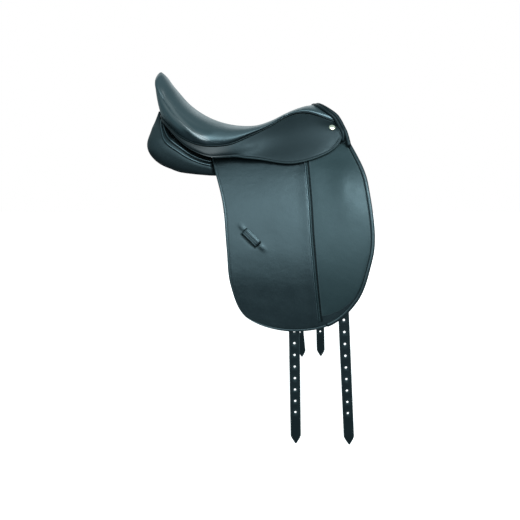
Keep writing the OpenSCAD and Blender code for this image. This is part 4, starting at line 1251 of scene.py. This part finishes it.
def sweat_piece(side):
    rear_top, rear_low, front_low, front_top = SWEAT_CORNERS

    def top(q):
        ends = edge_in(np.array([rear_top, front_top]), SWEAT_IN)
        return ends[0] * (1 - q[:, None]) + ends[1] * q[:, None]

    xz = coons(between(rear_top, rear_low, SWEAT_IN), between(front_top, front_low, SWEAT_IN), top,
               between(rear_low, front_low, SWEAT_IN), spaced(50, 300), spaced(60, 340))
    lift = np.full(xz.shape[:2], SWEAT_R - BARREL_R)
    sweat = ply_sheet("sweat_flap_leather", xz, lift, lift - SWEAT_T, side, panel_leather)
    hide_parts("sweat_flap_" + side)
    return sweat


def block_piece(name, first, last, wide, side):
    """Stuffed block on the sweat flap, domed to its full height."""
    t = first + (last - first) * spaced(40, 90)
    xz = np.stack([edge_in(t, k) for k in BLOCK_IN + wide * spaced(18, wide)], 1)
    d = flat_distance(xz, "abcd")
    low = SWEAT_R + PLY - BARREL_R
    high = -FLAP_T - BLOCK_CLEAR
    dome = 1 - RIM + RIM * np.sqrt(1 - np.clip(1 - d / (wide * 0.45), 0, 1) ** 2.4)
    outer = flipped(on_barrel(xz, BARREL_R + low + (high - low) * dome), SIDES[side])
    inner = flipped(on_barrel(xz, BARREL_R + low), SIDES[side])
    block = shell(name + "_pad_" + side, outer, inner, panel_leather)
    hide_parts(name + "_" + side)
    return block


# Insets of the grid lines beside a cut edge and round a hole, and of the pressed line
CUT_INSETS, HOLE_INSETS, PRESS_IN = (0, 0.3, 0.9), (0, 0.4, 1.0), 3.2
PRESS_DEPTH, PRESS_HALF = 0.3, 0.5
MEETS = 0.02


def cut_ply(name, side, outline, holes, r_mid, thick, pitch):
    """Leather on the barrel cut to an outline that runs anticlockwise, with round holes and rounded edges."""
    outline = np.asarray(outline, float)
    way = np.roll(outline, -1, 0) - outline

    def to_outline(p):
        far = np.full(len(p), FAR)
        inside = np.zeros(len(p), bool)
        for a, q in zip(outline, way):
            f = np.clip(((p - a) @ q) / (q @ q), 0, 1)
            far = np.minimum(far, np.linalg.norm(p - a - f[:, None] * q, axis=1))
            crosses = ((a[1] > p[:, 1]) != (a[1] + q[1] > p[:, 1]))
            at = a[0] + q[0] * (p[:, 1] - a[1]) / (q[1] or 1)
            inside ^= crosses & (p[:, 0] < at)
        return np.where(inside, far, -far)

    def distance(p):
        d = to_outline(p)
        for h in holes:
            d = np.minimum(d, np.linalg.norm(p - h, axis=1) - HOLE_R)
        return d

    normal_in = unit(np.stack([-way[:, 1], way[:, 0]], -1))
    before = np.roll(normal_in, 1, 0)
    corner = (normal_in + before) / (1 + np.sum(normal_in * before, 1, keepdims=True))
    points, edges = [], []

    def add_loop(loop):
        start = len(points)
        points.extend(loop.tolist())
        edges.extend([(start + k, start + (k + 1) % len(loop)) for k in range(len(loop))])

    half = thick / 2
    for inset in (*CUT_INSETS, half, PRESS_IN - PRESS_HALF, PRESS_IN, PRESS_IN + PRESS_HALF):
        ring = outline + corner * inset
        parts = []
        for start, step in zip(ring, np.roll(ring, -1, 0) - ring):
            count = max(2, int(np.linalg.norm(step) / pitch) + 1)
            parts += [start + step * f for f in np.linspace(0, 1, count, endpoint=False)]
        add_loop(np.array(parts))
    turn = np.linspace(0, 2 * np.pi, 20, endpoint=False)
    for h in holes:
        for grow in (*HOLE_INSETS, half):
            add_loop(h + (HOLE_R + grow) * np.stack([np.cos(turn), np.sin(turn)], -1))
    low, high = outline.min(0), outline.max(0)
    xs, zs = np.meshgrid(np.arange(low[0], high[0], pitch), np.arange(low[1], high[1], pitch))
    inner = np.stack([xs.ravel(), zs.ravel()], -1)
    points.extend(inner[distance(inner) > PRESS_IN + 1].tolist())
    got = delaunay_2d_cdt([Vector(p) for p in points], edges, [], 0, 1e-5)
    flat = np.array([tuple(v) for v in got[0]])
    tris = np.array(got[2])
    tris = tris[distance(flat[tris].mean(1)) > 0]
    d = distance(flat)
    d = np.where(d > MEETS, d, 0)
    tris = tris[np.any(d[tris] > 0, axis=1)]
    drop = rounded(d, half)
    press = PRESS_DEPTH * hump(d, PRESS_IN, 0.4)
    verts = np.concatenate([on_barrel(flat, r_mid + half - drop - press),
                            on_barrel(flat, r_mid - half + drop)])
    faces = tris.tolist() + (tris[:, ::-1] + len(flat)).tolist()
    edge = hump(d, WEAR_AT, 1.4)
    return build(name + "_" + side, flipped(verts, SIDES[side]), faces, strap_leather,
                 {"edge": np.concatenate([edge, edge])})


GUARD_T, STRAP_T, STRAP_W, SLIP = 2, 4, 25.4, 1.2
REAR_STRAP_R = SWEAT_R + PLY + GUARD_T + SLIP + STRAP_T / 2
FRONT_STRAP_R = REAR_STRAP_R + STRAP_T + SLIP
GUARD = [(76, -67), (76, -150), (79, -157), (88, -164), (215, -164), (224, -157), (227, -150), (227, -67)]
GUARD_PITCH, STRAP_PITCH = 9, 8

STRAP_TOP_Z, POINT_LEN, HOLE_R, HOLE_PITCH, HOLE_N, FIRST_HOLE = -46, 22, 2.7, 29.5, 9, 84
# Place and layer of each strap, and its lean on either side; the far ones end higher in the photograph
STRAP_AT = {"front": (207, FRONT_STRAP_R), "rear": (108, REAR_STRAP_R)}
STRAP_LEAN = {("front", "right"): 4.3, ("rear", "right"): 1.6, ("front", "left"): 2.6, ("rear", "left"): 6.2}
STRAP_TIP_Z = {"right": -720, "left": -648}


def guard_piece(side):
    r = SWEAT_R + PLY + GUARD_T / 2
    guard = cut_ply("buckle_guard_leather", side, GUARD, [], r, GUARD_T, GUARD_PITCH)
    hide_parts("buckle_guard_" + side)
    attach(guard, "saddle")


def strap_piece(which, side):
    x, r = STRAP_AT[which]
    lean = math.radians(STRAP_LEAN[which, side])
    drop = STRAP_TOP_Z - STRAP_TIP_Z[side]
    way = np.array([math.tan(lean), -1.0])
    half = np.array([STRAP_W / 2 / math.cos(lean), 0])
    top = np.array([x, STRAP_TOP_Z], float)
    neck = top + way * (drop - POINT_LEN)
    tip = top + way * drop
    outline = [top - half, neck - half, neck - half * 0.8 + way * 7, tip - half * 0.16 - way * 1.2, tip,
               tip + half * 0.16 - way * 1.2, neck + half * 0.8 + way * 7, neck + half, top + half]
    holes = [top + way * (drop - FIRST_HOLE - k * HOLE_PITCH) for k in range(HOLE_N)]
    strap = cut_ply(which + "_strap_leather", side, outline, holes, r, STRAP_T, STRAP_PITCH)
    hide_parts("girth_strap_%s_%s" % (which, side))
    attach(strap, "girth_strap_%s_%s" % (which, side))


# Panels

# Stations from the rear tip forward: middle line, slope in degrees, half width and half thickness
PANEL_PATH = [(-209, 55, 82), (-204, 65, 40), (-190, 73, -3), (-153, 75, -27), (-112, 74, -39),
              (-68, 71, -42), (0, 66, -40), (70, 62, -38), (140, 57, -36), (200, 54, -36),
              (238, 56, -36), (250, 57, -36)]
PANEL_SLOPE = [0, 4, 8, 12, 17, 24, 34, 42, 54, 63, 66, 66]
PANEL_HALF_W = [15, 31, 42, 45, 46, 46, 46, 47, 51, 55, 53, 45]
PANEL_HALF_T = [1.8, 17, 34, 32, 24, 20, 20, 19, 15, 12, 9, 4]
PANEL_POWER, CHANNEL_HALF, POINT_Z = 0.72, 30, -58
PANEL_WELT_R, PANEL_WELT_ANGLES = 2, (30, 52)
PANEL_WELT_SINK, PANEL_GROOVE, PANEL_RIPPLE, REAR_FULLER = 0.4, 1.2, 0.5, 6
TIP_X = -200
# Share of the width kept toward the tip, by height
TIP_Z, TIP_SHARE = [15, 40, 58, 82], [1, 0.86, 0.58, 0.28]
# Rounded ends of the panel, as share of the end ring and distance beyond it
PANEL_ENDS = ((0.93, 0.8), (0.75, 1.6), (0.45, 2.2), (0.15, 2.4))
HEAD_PLIES = 11 + 2.4 + 2 * PLY
NO_LIMIT = 400


def soft_min(a, b, r):
    """The lesser of two values, rounded where they are within r of each other."""
    h = np.clip(0.5 + (b - a) / (2 * r), 0, 1)
    return b * (1 - h) + a * h - r * h * (1 - h)


def pressed(p):
    """Panel held clear of channel, sweat flap, points of the tree and the tail of the skirt."""
    x, y, z = p[..., 0], p[..., 1], p[..., 2]
    tail = np.array(TAIL[::-1], float)
    x = np.where(z < 45, x, soft_min(x, np.interp(z, [45, 57], [-186, TIP_X]), 1))
    below_tail = np.interp(x, tail[:, 0], tail[:, 2]) - 1.2
    z_top = np.where((x < -66) & (x > TIP_X - 0.5), below_tail, NO_LIMIT)
    y_flap = barrel_y(SWEAT_R - SWEAT_T - PLY, z) + 140 * ease((-66 - x) / 40)
    y = CHANNEL_HALF + (y - CHANNEL_HALF) * np.interp(z, TIP_Z, TIP_SHARE)
    x = x - REAR_FULLER * hump(z, -5, 38) * ease((-150 - x) / 50)
    inside = leg_y(HEAD_R - HEAD_PLIES, z) - PLY
    y_point = np.where((x > 95) & (z > POINT_Z - 4), inside, NO_LIMIT)
    y = soft_min(soft_min(y, y_flap, 3), y_point, 2)
    return np.stack([x, np.maximum(CHANNEL_HALF, y), soft_min(z, z_top, 4)], -1)


def panel_at(s, angle, grow):
    s, angle, grow = np.broadcast_arrays(s, angle, grow)
    c = curve(PANEL_PATH, s)
    h = heading(PANEL_PATH, s)
    n = unit(np.stack([-h[..., 2], 0 * h[..., 0], h[..., 0]], -1))
    f = np.radians(curve(PANEL_SLOPE, s))
    cos, sin = np.cos(np.radians(angle)), np.sin(np.radians(angle))
    a = (curve(PANEL_HALF_W, s) + grow) * np.sign(cos) * np.abs(cos) ** PANEL_POWER
    b = (curve(PANEL_HALF_T, s) + grow) * np.sign(sin) * np.abs(sin) ** PANEL_POWER
    y = np.stack([0 * a, a * np.cos(f) + b * np.sin(f), 0 * a], -1)
    return c + y + n * (b * np.cos(f) - a * np.sin(f))[..., None]


def panel_piece(side):
    s = np.linspace(0, 1, 130)[:, None]
    angle = -np.arange(0, 360, 4)[None]
    rings = pressed(panel_at(s, angle, 0))
    grid = np.concatenate([rings, rings[:, :1]], 1)
    n = normals(grid, grid - grid.mean(1, keepdims=True))[:, :-1]
    turn = np.mod(angle, 360)
    on_seams = sum(hump(turn, a, 4) for a in PANEL_WELT_ANGLES)
    groove = PANEL_GROOVE * on_seams * (1 - ease((s - 0.45) / 0.03)) * ease((s - 0.08) / 0.03)
    ripple = PANEL_RIPPLE * noise_at(rings, 38, 5) * ease((s - 0.02) / 0.06) * (1 - ease((s - 0.45) / 0.1))
    rings = rings + n * (ripple - groove)[..., None]
    ends = []
    for ring, nearby in ((rings[0], rings[2]), (rings[-1], rings[-3])):
        middle = ring.mean(0)
        out = unit(middle - nearby.mean(0))
        ends.append([middle + (ring - middle) * k + out * d for k, d in PANEL_ENDS])
    rings = np.concatenate([np.array(ends[0][::-1]), rings, np.array(ends[1])])
    panel = loft("panel_cushion_" + side, flipped(rings, SIDES[side]), panel_leather)
    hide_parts("panel_" + side)
    welt_s = np.linspace(0.05, 0.47, 90)
    welts = [pressed(panel_at(welt_s, a, PANEL_WELT_R - PANEL_WELT_SINK)) for a in PANEL_WELT_ANGLES]
    welts = [flipped(q, SIDES[side]) for q in welts]
    edges = piped("panel_piping_" + side, welts, PANEL_WELT_R, seat_leather)
    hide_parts("panel_welt_" + side)
    return [panel, edges]


on_saddle += pommel_pieces()

for side, sign in SIDES.items():
    skirt_piece(side, sign)
    nail_piece(side, sign)
    flap_piece(side)
    inlay_piece(side)
    binding_piece(side)
    welt_pieces(side)
    keeper_piece(side)
    keeper_painted_shadow(side)
    flap_stitches(side)
    guard_piece(side)
    soft = [sweat_piece(side), block_piece("knee_block", 9.2, 11.5, 22, side),
            block_piece("thigh_block", 3.2, 4.7, 26, side)] + panel_piece(side)
    for piece in soft:
        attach(piece, "saddle")
    for which in ("front", "rear"):
        strap_piece(which, side)

for piece in on_saddle:
    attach(piece, "saddle")


# Solids that show as they are

FINISH = {"tree_frame": wood, "head_arch": wood, "seat_webbing": webbing, "girth_web": webbing,
          "point_webs": webbing, "pommel_facing": flap_leather, "gullet_strip": panel_leather}
for name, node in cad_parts.items():
    node.data.materials.clear()
    node.data.materials.append(FINISH.get(name, steel))


# Camera, light and floor

# The photograph's width and the distance to its picture plane, in pixels
PHOTO_WIDE, PHOTO_FOCUS = 520, 474.2
SENSOR = 36
CAMERA_AT, CAMERA_TILT = (0.0382, -1.25, -0.052), math.radians(79)

scene = bpy.context.scene
scene.view_settings.view_transform = "Standard"
lens = bpy.data.cameras.new("camera")
lens.sensor_width = SENSOR
lens.lens = PHOTO_FOCUS / PHOTO_WIDE * SENSOR
camera = bpy.data.objects.new("camera", lens)
camera.location = CAMERA_AT
camera.rotation_euler = (CAMERA_TILT, 0, 0)
scene.collection.objects.link(camera)
scene.camera = camera


def softbox(name, place, aim, size, watts):
    lamp = bpy.data.lights.new(name, "AREA")
    lamp.shape = "RECTANGLE"
    lamp.size, lamp.size_y = size
    lamp.energy = watts
    obj = bpy.data.objects.new(name, lamp)
    obj.location = place
    obj.rotation_euler = (Vector(aim) - Vector(place)).to_track_quat("-Z", "Y").to_euler()
    scene.collection.objects.link(obj)


softbox("front_softbox", (0.25, -2.45, 1.15), (0.05, 0, -0.15), (2.9, 2.9), 70)
softbox("knee_softbox", (1.35, -1.78, 1.5), (0.24, -0.15, -0.1), (0.9, 0.9), 42)
softbox("back_softbox", (-0.1, 2.3, 1.35), (0, 0, 0.05), (2.8, 0.9), 8)


ROOM_COLOUR, ROOM_STRENGTH = (0.42, 0.54, 0.56, 1), 0.95
FLOOR_HALF, FLOOR_Z = 6.0, -0.735
# Floor as it lights the object and as the camera sees it, and where it fades into the white
FLOOR_DARK, FLOOR_PALE = (0.12, 0.13, 0.14, 1), (0.9, 0.9, 0.9, 1)
FADE = {"From Min": 0.85, "From Max": 1.6, "To Min": 0.5, "To Max": 1.0}


def backdrop_world():
    """White behind the object, and a soft grey room for light and reflections."""
    world = bpy.data.worlds.new("room")
    world.use_nodes = True
    tree = world.node_tree
    tree.nodes.clear()
    seen, room, white = new_nodes(tree, "ShaderNodeLightPath", "ShaderNodeBackground", "ShaderNodeBackground")
    mix, out = new_nodes(tree, "ShaderNodeMixShader", "ShaderNodeOutputWorld")
    room.inputs["Color"].default_value = ROOM_COLOUR
    room.inputs["Strength"].default_value = ROOM_STRENGTH
    white.inputs["Color"].default_value = (1, 1, 1, 1)
    chain(tree,
          (seen.outputs["Is Camera Ray"], mix.inputs["Fac"]),
          (room.outputs["Background"], mix.inputs[1]),
          (white.outputs["Background"], mix.inputs[2]),
          (mix.outputs["Shader"], out.inputs["Surface"]))
    scene.world = world


backdrop_world()


def pale_floor():
    """White floor that keeps the shadow and fades into the white behind it."""
    mesh = bpy.data.meshes.new("floor")
    h, z = FLOOR_HALF, FLOOR_Z
    mesh.from_pydata([(-h, -h, z), (h, -h, z), (h, h, z), (-h, h, z)], [], [(0, 1, 2, 3)])
    mat = bpy.data.materials.new("pale_floor")
    mat.use_nodes = True
    tree = mat.node_tree
    shader = tree.nodes["Principled BSDF"]
    seen, place, away = new_nodes(tree, "ShaderNodeLightPath", "ShaderNodeTexCoord", "ShaderNodeVectorMath")
    fade, = new_nodes(tree, "ShaderNodeMapRange")
    by_camera = seen.outputs["Is Camera Ray"]
    away.operation = "LENGTH"
    for label, value in FADE.items():
        fade.inputs[label].default_value = value
    chain(tree,
          (mix_node(tree, by_camera, FLOOR_DARK, FLOOR_PALE), shader.inputs["Base Color"]),
          (place.outputs["Object"], away.inputs[0]),
          (away.outputs["Value"], fade.inputs["Value"]),
          (times(tree, fade.outputs["Result"], by_camera), shader.inputs["Emission Color"]))
    for label, value in (("Emission Strength", 1), ("Roughness", 0.9), ("Specular IOR Level", 0)):
        shader.inputs[label].default_value = value
    mesh.materials.append(mat)
    obj = bpy.data.objects.new("floor", mesh)
    scene.collection.objects.link(obj)


pale_floor()
